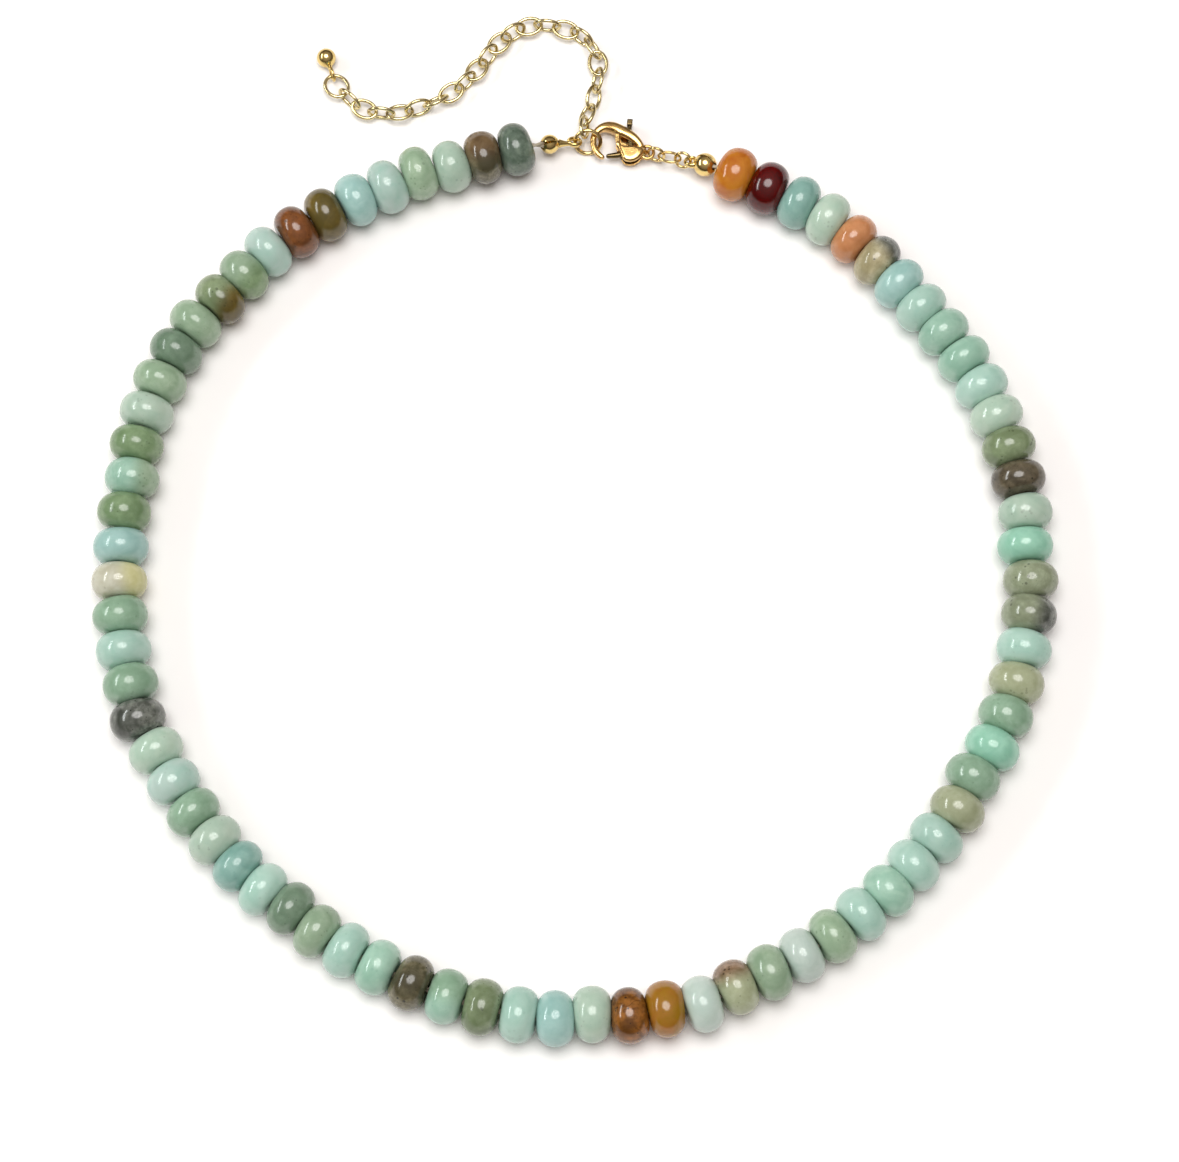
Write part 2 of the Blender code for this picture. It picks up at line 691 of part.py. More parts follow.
lever.data.transform(Matrix.Translation(tuple(-PIVOT)))
lever.location = tuple(PIVOT)



# Three small rings from the clasp's eye to the right bead tip, each through the last.
def next_place(last_place, aim, last_reach, reach, last_wire=RING_WIRE, wire=RING_WIRE):
    """The centre of a ring hung on the one before it, in the direction of a point."""
    distance = last_reach + reach - (last_wire + wire) / 2 - GAP
    return last_place + unit(aim - last_place) * distance


NEAR = next_place(EYE, TIP_RIGHT, EYE_RADIUS, NEAR_RADIUS, last_wire=EYE_WIRE)
OVAL = next_place(NEAR, TIP_RIGHT, NEAR_RADIUS, OVAL_HALF_LENGTH)
FAR = next_place(OVAL, TIP_RIGHT, OVAL_HALF_LENGTH, FAR_RADIUS)
RIGHT_LOOP = next_place(FAR, TIP_RIGHT, FAR_RADIUS, LOOP_RADIUS)
LINE = unit(TIP_RIGHT - EYE)
wire_ring("clasp_ring_near", NEAR, LINE, rolled(LINE, NEAR_ROLL), NEAR_RADIUS, RING_WIRE, RING_GOLD)
OVAL_ACROSS = rolled(LINE, OVAL_ROLL)
wire_ring("clasp_link_oval", OVAL, LINE, OVAL_ACROSS, OVAL_HALF_LENGTH, RING_WIRE, RING_GOLD, OVAL_HALF_WIDTH)
wire_ring("clasp_ring_far", FAR, LINE, rolled(LINE, FAR_ROLL), FAR_RADIUS, RING_WIRE, RING_GOLD)
RIGHT_NECK = np.linalg.norm(TIP_RIGHT - RIGHT_LOOP) - TIP_RIGHT_RADIUS - LOOP_RADIUS
bead_tip(
    "bead_tip_right",
    TIP_RIGHT,
    FACE_RIGHT,
    RIGHT_LOOP,
    rolled(LINE, RIGHT_LOOP_ROLL),
    TIP_RIGHT_RADIUS,
    RIGHT_NECK,
    LOOP_RADIUS,
    np.array(RIGHT_SLIT_UP),
    TIP_GOLD,
)

# The ball at the chain's loose end, its eye standing on edge through the first link.
BALL_AIM = plan(END_BALL_MM, END_BALL_RADIUS)
BALL_EYE = next_place(LINK_PLACES[0], BALL_AIM, LINK_HALF_LENGTH * 0.95, BALL_EYE_RADIUS, last_wire=LINK_WIRE)
BALL_LINE = unit(BALL_EYE - BALL_AIM)
BALL = BALL_EYE - BALL_LINE * (BALL_EYE_RADIUS + BALL_NECK + END_BALL_RADIUS)
ball = turned("extender_ball", BALL, BALL_LINE, sphere_profile(END_BALL_RADIUS, 9), TIP_GOLD)
neck_and_loop(
    ball,
    BALL,
    BALL_LINE,
    rolled(BALL_LINE, BALL_EYE_ROLL),
    END_BALL_RADIUS,
    BALL_NECK,
    BALL_EYE_RADIUS,
    RING_WIRE,
    TIP_GOLD,
)
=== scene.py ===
import math

import bmesh
import bpy
import numpy as np
from mathutils import Matrix, Vector


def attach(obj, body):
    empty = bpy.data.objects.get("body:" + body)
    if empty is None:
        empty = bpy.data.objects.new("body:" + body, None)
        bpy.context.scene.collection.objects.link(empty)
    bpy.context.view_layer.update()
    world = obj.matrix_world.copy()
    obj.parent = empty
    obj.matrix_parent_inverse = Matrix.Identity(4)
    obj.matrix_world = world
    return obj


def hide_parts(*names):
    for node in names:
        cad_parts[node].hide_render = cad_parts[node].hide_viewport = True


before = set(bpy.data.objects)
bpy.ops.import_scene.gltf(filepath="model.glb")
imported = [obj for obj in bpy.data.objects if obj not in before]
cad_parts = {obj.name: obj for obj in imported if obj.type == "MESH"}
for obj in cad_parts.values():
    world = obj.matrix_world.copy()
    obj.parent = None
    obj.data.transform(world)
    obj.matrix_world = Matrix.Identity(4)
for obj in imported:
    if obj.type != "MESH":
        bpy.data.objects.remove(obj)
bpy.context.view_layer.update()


# Camera. The necklace was photographed lying on a table, from nearly straight above, 15 degrees towards
# the front of the ring. Places in the plan are in millimetres, and PLAN_CENTRE is the necklace's middle.
MM = 0.001
PLAN_CENTRE = np.array([-2.03, 9.37])
CAMERA_DISTANCE = 540 * MM
CAMERA_TILT = math.radians(15.0)
LENS_MM = 116.444
SENSOR_WIDTH_MM = 36.0
NEAREST_SEEN = 10 * MM
look_at = Vector((-PLAN_CENTRE[0] * MM, -PLAN_CENTRE[1] * MM, 0.0))
view_line = Vector((0.0, math.sin(CAMERA_TILT), -math.cos(CAMERA_TILT)))
camera = bpy.data.objects.new("camera", bpy.data.cameras.new("camera"))
camera.data.lens = LENS_MM
camera.data.sensor_width = SENSOR_WIDTH_MM
camera.data.clip_start = NEAREST_SEEN
camera.location = look_at - view_line * CAMERA_DISTANCE
camera.rotation_euler = (CAMERA_TILT, 0.0, 0.0)
bpy.context.scene.collection.objects.link(camera)
bpy.context.scene.camera = camera


# The string of beads. 75 rondelles of polished stone, turned round, drilled along their short axis and
# threaded face to face. They lie on their edges, each turned a little its own way on the thread.
BEAD_COUNT = 75
LEFT_RUN = 38
BEAD_RADIUS = 4.0 * MM
BEAD_FACE_SHARE = 0.43
BEAD_ROUNDNESS = 2.05
DRILL_RADIUS = 0.45 * MM
DRILL_CHAMFER = 0.12 * MM
BEAD_CLEARANCE = 0.02 * MM
BEAD_OVAL = 0.008
BEAD_WEDGE = 0.045
BEAD_MIDFACE_SHARE = 0.7
BEAD_SIDES = 44
BELLY_STEPS = 21
UP = np.array([0.0, 0.0, 1.0])
# The ring's line: the numbers of the beads that it is drawn through, and their places in the plan.
BEAD_ROUTE = [
    (1, -10.7, 63.7),
    (5, -29.2, 57.9),
    (9, -46.2, 48.0),
    (14, -61.2, 28.4),
    (19, -66.0, 3.9),
    (23, -64.0, -16.0),
    (28, -51.7, -38.1),
    (33, -33.3, -53.4),
    (38, -9.7, -62.3),
    (45, 24.7, -56.5),
    (51, 47.9, -37.8),
    (57, 60.8, -10.9),
    (62, 60.7, 13.8),
    (66, 53.4, 31.8),
    (69, 44.4, 43.1),
    (72, 34.4, 52.9),
    (75, 21.1, 59.8),
]
# How far a few beads stand outwards of that line, in millimetres.
BEADS_OUT_OF_LINE = {
    4: 0.4,
    10: -0.4,
    11: -0.5,
    17: -0.4,
    24: 0.55,
    31: -0.45,
    40: -0.6,
    43: 0.65,
    53: -0.55,
    60: -0.6,
}


def unit(vectors):
    """Each vector divided by its length."""
    return vectors / np.linalg.norm(vectors, axis=-1, keepdims=True)


def smooth_route(knots, values, at):
    """Natural cubic spline: through each value at its knot, with equal bend on both sides of a knot and
    none at the ends."""
    knots = np.asarray(knots, float)
    values = np.asarray(values, float)
    step = np.diff(knots)
    slope = np.diff(values, axis=0) / step[:, None]
    inner = np.arange(1, len(knots) - 1)
    matrix = np.eye(len(knots))
    matrix[inner, inner - 1] = step[:-1]
    matrix[inner, inner] = 2 * (step[:-1] + step[1:])
    matrix[inner, inner + 1] = step[1:]
    right = np.zeros_like(values)
    right[1:-1] = 6 * np.diff(slope, axis=0)
    bend = np.linalg.solve(matrix, right)
    at = np.asarray(at, float)
    i = np.clip(np.searchsorted(knots, at) - 1, 0, len(knots) - 2)
    h = step[i][:, None]
    a = (knots[i + 1] - at)[:, None] / h
    b = 1 - a
    bow = ((a**3 - a) * bend[i] + (b**3 - b) * bend[i + 1]) * h**2 / 6
    return a * values[i] + b * values[i + 1] + bow


def strung_centres():
    """The beads' middles in the plan: the ring's smooth line, with a few beads pushed off it."""
    route = np.array(BEAD_ROUTE)
    centres = smooth_route(route[:, 0], route[:, 1:] - PLAN_CENTRE, np.arange(1, BEAD_COUNT + 1))
    for number, outwards in BEADS_OUT_OF_LINE.items():
        centres[number - 1] += outwards * unit(centres[number - 1])
    return np.column_stack([centres * MM, np.full(BEAD_COUNT, BEAD_RADIUS)])


bead_middle = strung_centres()
bead_before = np.vstack([2 * bead_middle[0] - bead_middle[1], bead_middle[:-1]])
bead_after = np.vstack([bead_middle[1:], 2 * bead_middle[-1] - bead_middle[-2]])
bead_half = np.linalg.norm(bead_after - bead_before, axis=1) / 4
bead_along = unit(bead_after - bead_before)

# How far out of square the beads sit on the thread, in degrees, and their sizes as shares of the full one:
# a small spread for all of them, and beads that stand out.
TILT_SPREAD = 0.9
LARGEST_BEAD = 0.99
SIZE_SPREAD = 0.015
SHAPE_SEED = 7
BEADS_TILTED = {
    3: -4.0,
    7: 2.5,
    12: -2.0,
    24: 5.0,
    29: -3.0,
    35: 2.5,
    41: -2.0,
    46: 3.0,
    58: 2.5,
    61: -2.0,
    70: -4.0,
}
BEADS_SMALLER = {
    3: 0.95,
    6: 0.97,
    10: 0.975,
    18: 0.97,
    26: 0.965,
    39: 0.97,
    46: 0.96,
    59: 0.975,
    61: 0.97,
    71: 0.95,
}
shape_rng = np.random.default_rng(SHAPE_SEED)
bead_tilt = np.radians(shape_rng.normal(0.0, TILT_SPREAD, BEAD_COUNT))
bead_scale = LARGEST_BEAD - SIZE_SPREAD * shape_rng.random(BEAD_COUNT)
for number, degrees in BEADS_TILTED.items():
    bead_tilt[number - 1] = math.radians(degrees)
for number, share in BEADS_SMALLER.items():
    bead_scale[number - 1] = share

# Stones by name: body colour, second colour, then how much it is clouded, specked and veined, from 0 to 1.
STONES = {
    "slate": ((116, 132, 116), (70, 86, 74), 0.9, 0.6, 0.2),
    "smoke": ((134, 112, 80), (92, 72, 48), 1.0, 0.3, 0.2),
    "palesage": ((164, 190, 172), (184, 202, 186), 0.8, 0.25, 0.0),
    "sage": ((160, 182, 156), (134, 160, 132), 0.8, 0.3, 0.0),
    "greyaqua": ((162, 194, 182), (180, 200, 192), 0.8, 0.1, 0.0),
    "aqua": ((166, 200, 194), (142, 182, 175), 0.8, 0.0, 0.0),
    "olive": ((124, 104, 46), (84, 74, 34), 0.9, 0.4, 0.1),
    "redbrown": ((136, 82, 40), (88, 56, 30), 1.0, 0.5, 0.2),
    "moss": ((140, 156, 122), (108, 124, 90), 0.9, 0.5, 0.2),
    "darkjade": ((126, 150, 128), (98, 122, 100), 0.7, 0.35, 0.1),
    "jade": ((150, 180, 156), (124, 156, 130), 0.8, 0.2, 0.1),
    "palemint": ((159, 195, 181), (178, 206, 194), 0.8, 0.1, 0.0),
    "mint": ((166, 200, 182), (142, 182, 162), 0.8, 0.1, 0.0),
    "teal": ((150, 188, 178), (122, 166, 156), 0.8, 0.1, 0.0),
    "cream": ((206, 206, 190), (186, 184, 162), 0.9, 0.2, 0.1),
    "khaki": ((172, 179, 150), (146, 153, 120), 0.8, 0.3, 0.1),
    "white": ((194, 208, 200), (176, 196, 186), 0.9, 0.0, 0.2),
    "leaf": ((138, 162, 124), (106, 132, 94), 0.8, 0.35, 0.2),
    "charcoal": ((134, 138, 130), (62, 66, 60), 1.0, 1.0, 0.3),
    "greyolive": ((132, 126, 100), (74, 70, 50), 1.0, 1.0, 0.4),
    "umber": ((110, 101, 82), (66, 59, 44), 1.0, 0.8, 0.3),
    "honey": ((172, 96, 26), (190, 124, 38), 0.9, 0.0, 0.0),
    "ochre": ((166, 110, 46), (150, 112, 14), 0.9, 0.1, 0.0),
    "garnet": ((92, 0, 0), (60, 0, 0), 0.7, 0.0, 0.0),
    "peach": ((206, 146, 100), (182, 122, 78), 0.8, 0.2, 0.0),
    "straw": ((206, 204, 156), (184, 182, 124), 0.9, 0.1, 0.0),
    "drab": ((194, 185, 152), (152, 143, 108), 1.0, 0.8, 0.3),
    "greysage": ((154, 164, 138), (124, 132, 106), 0.9, 0.6, 0.3),
    "spearmint": ((158, 206, 184), (132, 186, 162), 0.7, 0.05, 0.0),
    "dusk": ((160, 134, 108), (104, 78, 54), 1.0, 0.9, 0.5),
    "tan": ((160, 104, 42), (92, 56, 18), 1.0, 1.0, 0.8),
}
# The order in which they are strung, from the left end of the clasp round to the right end.
STRUNG = """
slate smoke palesage sage greyaqua aqua olive redbrown greyaqua sage
moss sage darkjade sage palesage leaf mint leaf aqua cream
jade palemint jade charcoal palesage greyaqua jade palesage teal palemint
darkjade sage palemint mint greyolive jade moss palemint aqua palesage
tan ochre white khaki sage white sage palemint mint palemint
palemint khaki jade spearmint jade khaki palemint greysage greysage spearmint
palesage umber moss palesage palemint mint mint palemint aqua drab
peach palesage teal garnet honey
""".split()
# Beads of two colours: the second stone and the side it shows on, 1 outwards and -1 inwards. It starts at
# TONED_FROM from the bead's middle and is full TONED_OVER further on, both as shares of the radius.
TONED_FROM = -0.1
TONED_OVER = 0.7
TWO_TONED = {
    2: ("greyolive", -1),
    10: ("leaf", -1),
    11: ("olive", -1),
    17: ("sage", -1),
    20: ("straw", -1),
    36: ("mint", 1),
    44: ("dusk", -1),
    58: ("charcoal", 1),
    70: ("charcoal", 1),
}
# How much lighter or darker than its stone's own colours a bead can be.
LIGHTNESS_SPREAD = 0.07


def linear(colour):
    """A colour as it shows on a screen, 0 to 255, as the light that it reflects, 0 to 1: its share of the
    full value over 12.92 where it is very dark, and else (share + 0.055) / 1.055 to the power 2.4."""
    share = np.asarray(colour, float) / 255
    return np.where(share <= 0.04045, share / 12.92, ((share + 0.055) / 1.055) ** 2.4)


def grid_quads(rows, columns, rows_closed=False):
    """The faces of a grid of points, row by row. Each row is tied back to its own start, and where the rows
    are closed the last one to the first."""
    i = np.arange(rows if rows_closed else rows - 1)[:, None]
    j = np.arange(columns)[None, :]
    here = i * columns + j
    right = i * columns + (j + 1) % columns
    up = (i + 1) % rows * columns + j
    across = (i + 1) % rows * columns + (j + 1) % columns
    return np.stack([here, right, across, up], axis=-1).reshape(-1, 4)


def tube_faces(rows, sides):
    """The faces of a tube of rows of points, with a face across each of its two ends."""
    faces = grid_quads(rows, sides).tolist()
    faces.append(list(range(sides)))
    faces.append(list(range((rows - 1) * sides, rows * sides)))
    return faces


def skin_of(name, shells):
    """A mesh of closed shells, each a pair of points and faces, with every face turned outwards."""
    built = bmesh.new()
    for points, faces in shells:
        corners = [built.verts.new(point) for point in points.tolist()]
        for face in faces:
            built.faces.new([corners[k] for k in face])
    bmesh.ops.recalc_face_normals(built, faces=built.faces)
    mesh = bpy.data.meshes.new(name)
    built.to_mesh(mesh)
    built.free()
    return mesh


def lay_piece(name, mesh, finish, slot, *nodes, body="necklace"):
    """Makes one piece of the necklace from its mesh, in the place of these solids."""
    mesh.name = name
    mesh.shade_smooth()
    mesh.materials.clear()
    mesh.materials.append(finish)
    piece = bpy.data.objects.new(name, mesh)
    bpy.context.scene.collection.objects.link(piece)
    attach(piece, body)
    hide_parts(*nodes)
    return piece


def bead_outline(half, radius):
    """Round a bead's cut from the drilled hole over one face, the belly and the other face, back to the
    hole. The belly is a superellipse: with t from -90 to 90 degrees, the distance along the thread is
    half * sin(t) ** p and the radius is face + (radius - face) * cos(t) ** p, where p is 2 divided by
    BEAD_ROUNDNESS."""
    t = np.linspace(-math.pi / 2, math.pi / 2, BELLY_STEPS)
    power = 2 / BEAD_ROUNDNESS
    face = radius * BEAD_FACE_SHARE
    belly_along = np.sign(np.sin(t)) * np.abs(np.sin(t)) ** power
    belly_out = face[:, None] + (radius - face)[:, None] * np.abs(np.cos(t)) ** power
    ones = np.ones((len(half), 1))
    hole = DRILL_RADIUS * ones
    rim = (DRILL_RADIUS + DRILL_CHAMFER) * ones
    flat = face[:, None] * BEAD_MIDFACE_SHARE
    end = half[:, None]
    inside = end - DRILL_CHAMFER
    along = np.hstack([-inside, -end, -end, belly_along * end, end, end, inside])
    out = np.hstack([hole, rim, flat, belly_out, flat, rim, hole])
    return along, out


def bead_points(first, last):
    """Each bead's outline carried round its own axis: a grid for each bead, outline by turn. No bead is
    quite round or even: with the turn a, the radius is times 1 + BEAD_OVAL * cos(2 * a + its own phase), and
    the distance along the thread is times 1 + BEAD_WEDGE * cos(a + its own phase). The second result is how
    far outwards of the bead's middle each point lies, as a share of the radius."""
    pick = slice(first - 1, last)
    radius = BEAD_RADIUS * bead_scale[pick]
    half = bead_half[pick] - BEAD_CLEARANCE
    turn = bead_tilt[pick]
    level = unit(np.cross(bead_along[pick], UP))
    axis = np.cos(turn)[:, None] * bead_along[pick] + np.sin(turn)[:, None] * level
    side = unit(np.cross(axis, UP))
    centre = bead_middle[pick].copy()
    centre[:, 2] = radius * (1 + BEAD_OVAL)
    along, out = bead_outline(half, radius)
    angle = 2 * math.pi * np.arange(BEAD_SIDES) / BEAD_SIDES
    round_side = np.cos(angle)[None, None, :, None] * side[:, None, None, :]
    round_up = np.sin(angle)[None, None, :, None] * UP
    phase = np.random.default_rng(last).uniform(0, 2 * math.pi, (2, len(radius), 1))
    oval = 1 + BEAD_OVAL * np.cos(2 * angle + phase[0])
    wedge = 1 + BEAD_WEDGE * np.cos(angle + phase[1])
    points = (
        centre[:, None, None, :]
        + (along[:, :, None] * wedge[:, None, :])[..., None] * axis[:, None, None, :]
        + (out[:, :, None] * oval[:, None, :])[..., None] * (round_side + round_up)
    )
    outer = unit(centre * [1, 1, 0])
    reach = np.einsum("bpsk,bk->bps", points - centre[:, None, None, :], outer) / BEAD_RADIUS
    return points, reach


def node(tree, kind, **settings):
    """A shader node with its sockets set by name, or by number as in0 and in1, or linked where a socket
    is given."""
    made = tree.nodes.new(kind)
    for key, value in settings.items():
        if hasattr(made, key):
            setattr(made, key, value)
            continue
        numbered = key.startswith("in") and key[2:].isdigit()
        socket = made.inputs[int(key[2:]) if numbered else key]
        if isinstance(value, bpy.types.NodeSocket):
            tree.links.new(value, socket)
        else:
            socket.default_value = value
    return made


def shader_group(name, inputs, outputs):
    """An empty node group with its named sockets, and the nodes at its two ends."""
    group = bpy.data.node_groups.new(name, "ShaderNodeTree")
    for label, kind in inputs:
        group.interface.new_socket(label, in_out="INPUT", socket_type=kind)
    for label, kind in outputs:
        group.interface.new_socket(label, in_out="OUTPUT", socket_type=kind)
    return group, group.nodes.new("NodeGroupInput").outputs, group.nodes.new("NodeGroupOutput").inputs


def spread(tree, value, low, high, out_low=0.0, out_high=1.0):
    """The value from low to high spread over a new range, and held at its ends."""
    return node(
        tree,
        "ShaderNodeMapRange",
        **{"Value": value, "From Min": low, "From Max": high, "To Min": out_low, "To Max": out_high},
    ).outputs["Result"]


def arithmetic(tree, operation, *values):
    """One step of arithmetic on sockets and numbers. MULTIPLY_ADD is the first times the second, plus the
    third."""
    numbered = {f"in{k}": value for k, value in enumerate(values)}
    return node(tree, "ShaderNodeMath", operation=operation, **numbered).outputs[0]


def blended(tree, share, a, b):
    """Colour a going over to colour b as the share goes from 0 to 1."""
    return node(tree, "ShaderNodeMix", data_type="RGBA", in0=share, in6=a, in7=b).outputs[2]


def stone_figure():
    """The figure of polished stone: soft clouds of the second colour a few millimetres wide, fine mottling,
    dark specks, and thin veins along the middle contour of a bent noise."""
    group, given, wanted = shader_group(
        "stone_figure",
        [
            ("Body", "NodeSocketColor"),
            ("Second", "NodeSocketColor"),
            ("Clouds", "NodeSocketFloat"),
            ("Specks", "NodeSocketFloat"),
            ("Veins", "NodeSocketFloat"),
        ],
        [("Colour", "NodeSocketColor"), ("Roughness", "NodeSocketFloat"), ("Height", "NodeSocketFloat")],
    )
    place = node(group, "ShaderNodeTexCoord").outputs["Object"]
    cloud = node(group, "ShaderNodeTexNoise", Vector=place, Scale=260.0, Detail=3.0, Distortion=0.8)
    clouded_part = spread(group, cloud.outputs["Fac"], 0.42, 0.66)
    cloud_share = arithmetic(group, "MULTIPLY", clouded_part, given["Clouds"])
    fine = node(group, "ShaderNodeTexNoise", Vector=place, Scale=1100.0, Detail=5.0, Roughness=0.65)
    speck = node(group, "ShaderNodeTexVoronoi", Vector=place, Scale=1400.0, Randomness=1.0)
    gate = node(group, "ShaderNodeTexNoise", Vector=place, Scale=420.0, Detail=1.0)
    speck_size = spread(group, gate.outputs["Fac"], 0.45, 0.7, 0.0, 0.34)
    speck_edge = arithmetic(group, "SUBTRACT", speck_size, speck.outputs["Distance"])
    speck_share = arithmetic(group, "MULTIPLY", spread(group, speck_edge, 0.0, 0.07), given["Specks"])
    bent = node(group, "ShaderNodeTexNoise", Vector=place, Scale=170.0, Detail=4.0, Distortion=1.6)
    contour = arithmetic(group, "ABSOLUTE", arithmetic(group, "SUBTRACT", bent.outputs["Fac"], 0.5))
    vein_share = arithmetic(group, "MULTIPLY", spread(group, contour, 0.03, 0.0), given["Veins"])
    clouded = blended(group, cloud_share, given["Body"], given["Second"])
    veined = blended(group, vein_share, clouded, given["Second"])
    coarseness = arithmetic(group, "MULTIPLY_ADD", given["Specks"], 1.1, 0.8)
    fine_share = spread(group, fine.outputs["Fac"], 0.35, 0.65, 0.0, 0.42)
    mottled_part = arithmetic(group, "MULTIPLY", fine_share, coarseness)
    mottled = blended(group, mottled_part, veined, given["Second"])
    dark = blended(group, 0.7, given["Second"], (0.008, 0.010, 0.007, 1.0))
    specked = blended(group, speck_share, mottled, dark)
    group.links.new(specked, wanted["Colour"])
    rough = spread(group, fine.outputs["Fac"], 0.3, 0.7, 0.11, 0.19)
    group.links.new(arithmetic(group, "MULTIPLY_ADD", speck_share, 0.10, rough), wanted["Roughness"])
    waves = arithmetic(group, "MULTIPLY_ADD", cloud.outputs["Fac"], 4.0, fine.outputs["Fac"])
    group.links.new(arithmetic(group, "MULTIPLY_ADD", speck_share, -1.0, waves), wanted["Height"])
    return group


figure_group = stone_figure()


def polished_stone(name):
    """Polished, slightly translucent stone, its colours and figure read from the beads' own attributes."""
    made = bpy.data.materials.new(name)
    made.use_nodes = True
    tree = made.node_tree
    shader = tree.nodes["Principled BSDF"]
    body = node(tree, "ShaderNodeAttribute", attribute_name="stone_body").outputs["Color"]
    second = node(tree, "ShaderNodeAttribute", attribute_name="stone_second").outputs["Color"]
    marks = node(tree, "ShaderNodeAttribute", attribute_name="stone_marks").outputs["Vector"]
    mark = node(tree, "ShaderNodeSeparateXYZ", Vector=marks).outputs
    figure = tree.nodes.new("ShaderNodeGroup")
    figure.node_tree = figure_group
    sources = {"Body": body, "Second": second, "Clouds": mark["X"], "Specks": mark["Y"], "Veins": mark["Z"]}
    for label, socket in sources.items():
        tree.links.new(socket, figure.inputs[label])
    tree.links.new(figure.outputs["Colour"], shader.inputs["Base Color"])
    tree.links.new(figure.outputs["Roughness"], shader.inputs["Roughness"])
    bump = node(tree, "ShaderNodeBump", Strength=0.2, Distance=0.04 * MM, Height=figure.outputs["Height"])
    tree.links.new(bump.outputs["Normal"], shader.inputs["Normal"])
    shader.inputs["IOR"].default_value = 1.54
    shader.inputs["Subsurface Weight"].default_value = 0.6
    shader.inputs["Subsurface Radius"].default_value = (1.0, 1.0, 0.9)
    shader.inputs["Subsurface Scale"].default_value = 0.8 * MM
    return made


def bead_piece(name, first, last, slot, cad_node):
    """One run of beads, each bead's stone written on its points. A bead of two colours goes over from one
    to the other by 3 * s ** 2 - 2 * s ** 3, with s the share of the way across."""
    points, reach = bead_points(first, last)
    beads, outline, turns, _ = points.shape
    flat = points.reshape(-1, 3)
    one = grid_quads(outline, turns, rows_closed=True)
    quads = (np.arange(beads)[:, None, None] * outline * turns + one).reshape(-1, 4)
    body = np.ones((beads, outline, turns, 4))
    second = np.ones_like(body)
    marks = np.zeros((beads, outline, turns, 3))
    shade_rng = np.random.default_rng(first)
    for k in range(beads):
        number = first + k
        colour, other, clouds, specks, veins = STONES[STRUNG[number - 1]]
        lightness = 1 + LIGHTNESS_SPREAD * shade_rng.uniform(-1, 1)
        body[k, ..., :3] = linear(colour) * lightness
        second[k, ..., :3] = linear(other) * lightness
        marks[k] = (clouds, specks, veins)
        if number in TWO_TONED:
            toned, side = TWO_TONED[number]
            share = np.clip((side * reach[k] - TONED_FROM) / TONED_OVER, 0, 1)[..., None]
            share = share * share * (3 - 2 * share)
            body[k, ..., :3] += (linear(STONES[toned][0]) - body[k, ..., :3]) * share
            second[k, ..., :3] += (linear(STONES[toned][1]) - second[k, ..., :3]) * share
            marks[k] += (np.array(STONES[toned][2:]) - marks[k]) * share
    mesh = skin_of(name, [(flat, quads.tolist())])
    piece = lay_piece(name, mesh, polished_stone(slot), slot, cad_node)
    for label, kind, key, values in (
        ("stone_body", "FLOAT_COLOR", "color", body),
        ("stone_second", "FLOAT_COLOR", "color", second),
        ("stone_marks", "FLOAT_VECTOR", "vector", marks),
    ):
        attribute = piece.data.attributes.new(label, kind, "POINT")
        attribute.data.foreach_set(key, values.reshape(-1).astype(np.float32))


bead_piece("beads_left", 1, LEFT_RUN, "stone_left", "bead_run_left")
bead_piece("beads_right", LEFT_RUN + 1, BEAD_COUNT, "stone_right", "bead_run_right")


# The thread. Two strands of beige nylon laid round each other, run through all the beads and knotted
# inside the two bead tips. It shows between the end beads and the tips. GAP is the play between
# neighbouring pieces.
THREAD_STRAND = 0.22 * MM
THREAD_TWIST = 5.2 * MM
THREAD_STEPS = 900
THREAD_SIDES = 7
KNOT_SHARE = 0.5
END_SQUARE = 0.0004
FINE_STEPS = 12
GAP = 0.3 * MM
TIP_LEFT_RADIUS = 1.4 * MM
TIP_LEFT_BARE = 1.42 * MM
TIP_LEFT_DROP = 1.4 * MM
TIP_RIGHT_RADIUS = 1.7 * MM
TIP_RIGHT_BARE = 0.63 * MM
TIP_RIGHT_DROP = 1.1 * MM


def tip_place(end, neighbour, radius, bare, drop):
    """The outer face of an end bead, and the middle of the bead tip beyond it, which hangs lower."""
    step = bead_middle[end] - bead_middle[neighbour]
    face = bead_middle[end] + step / 2 - unit(step) * GAP / 2
    return face, face + unit(step) * (radius + bare) - drop * UP


face_left, tip_left = tip_place(0, 1, TIP_LEFT_RADIUS, TIP_LEFT_BARE, TIP_LEFT_DROP)
face_right, tip_right = tip_place(-1, -2, TIP_RIGHT_RADIUS, TIP_RIGHT_BARE, TIP_RIGHT_DROP)


def lines_along(path, closed=False):
    """The direction of the path at each of its points."""
    if closed:
        return unit(np.roll(path, -1, axis=0) - np.roll(path, 1, axis=0))
    return unit(np.gradient(path, axis=0))


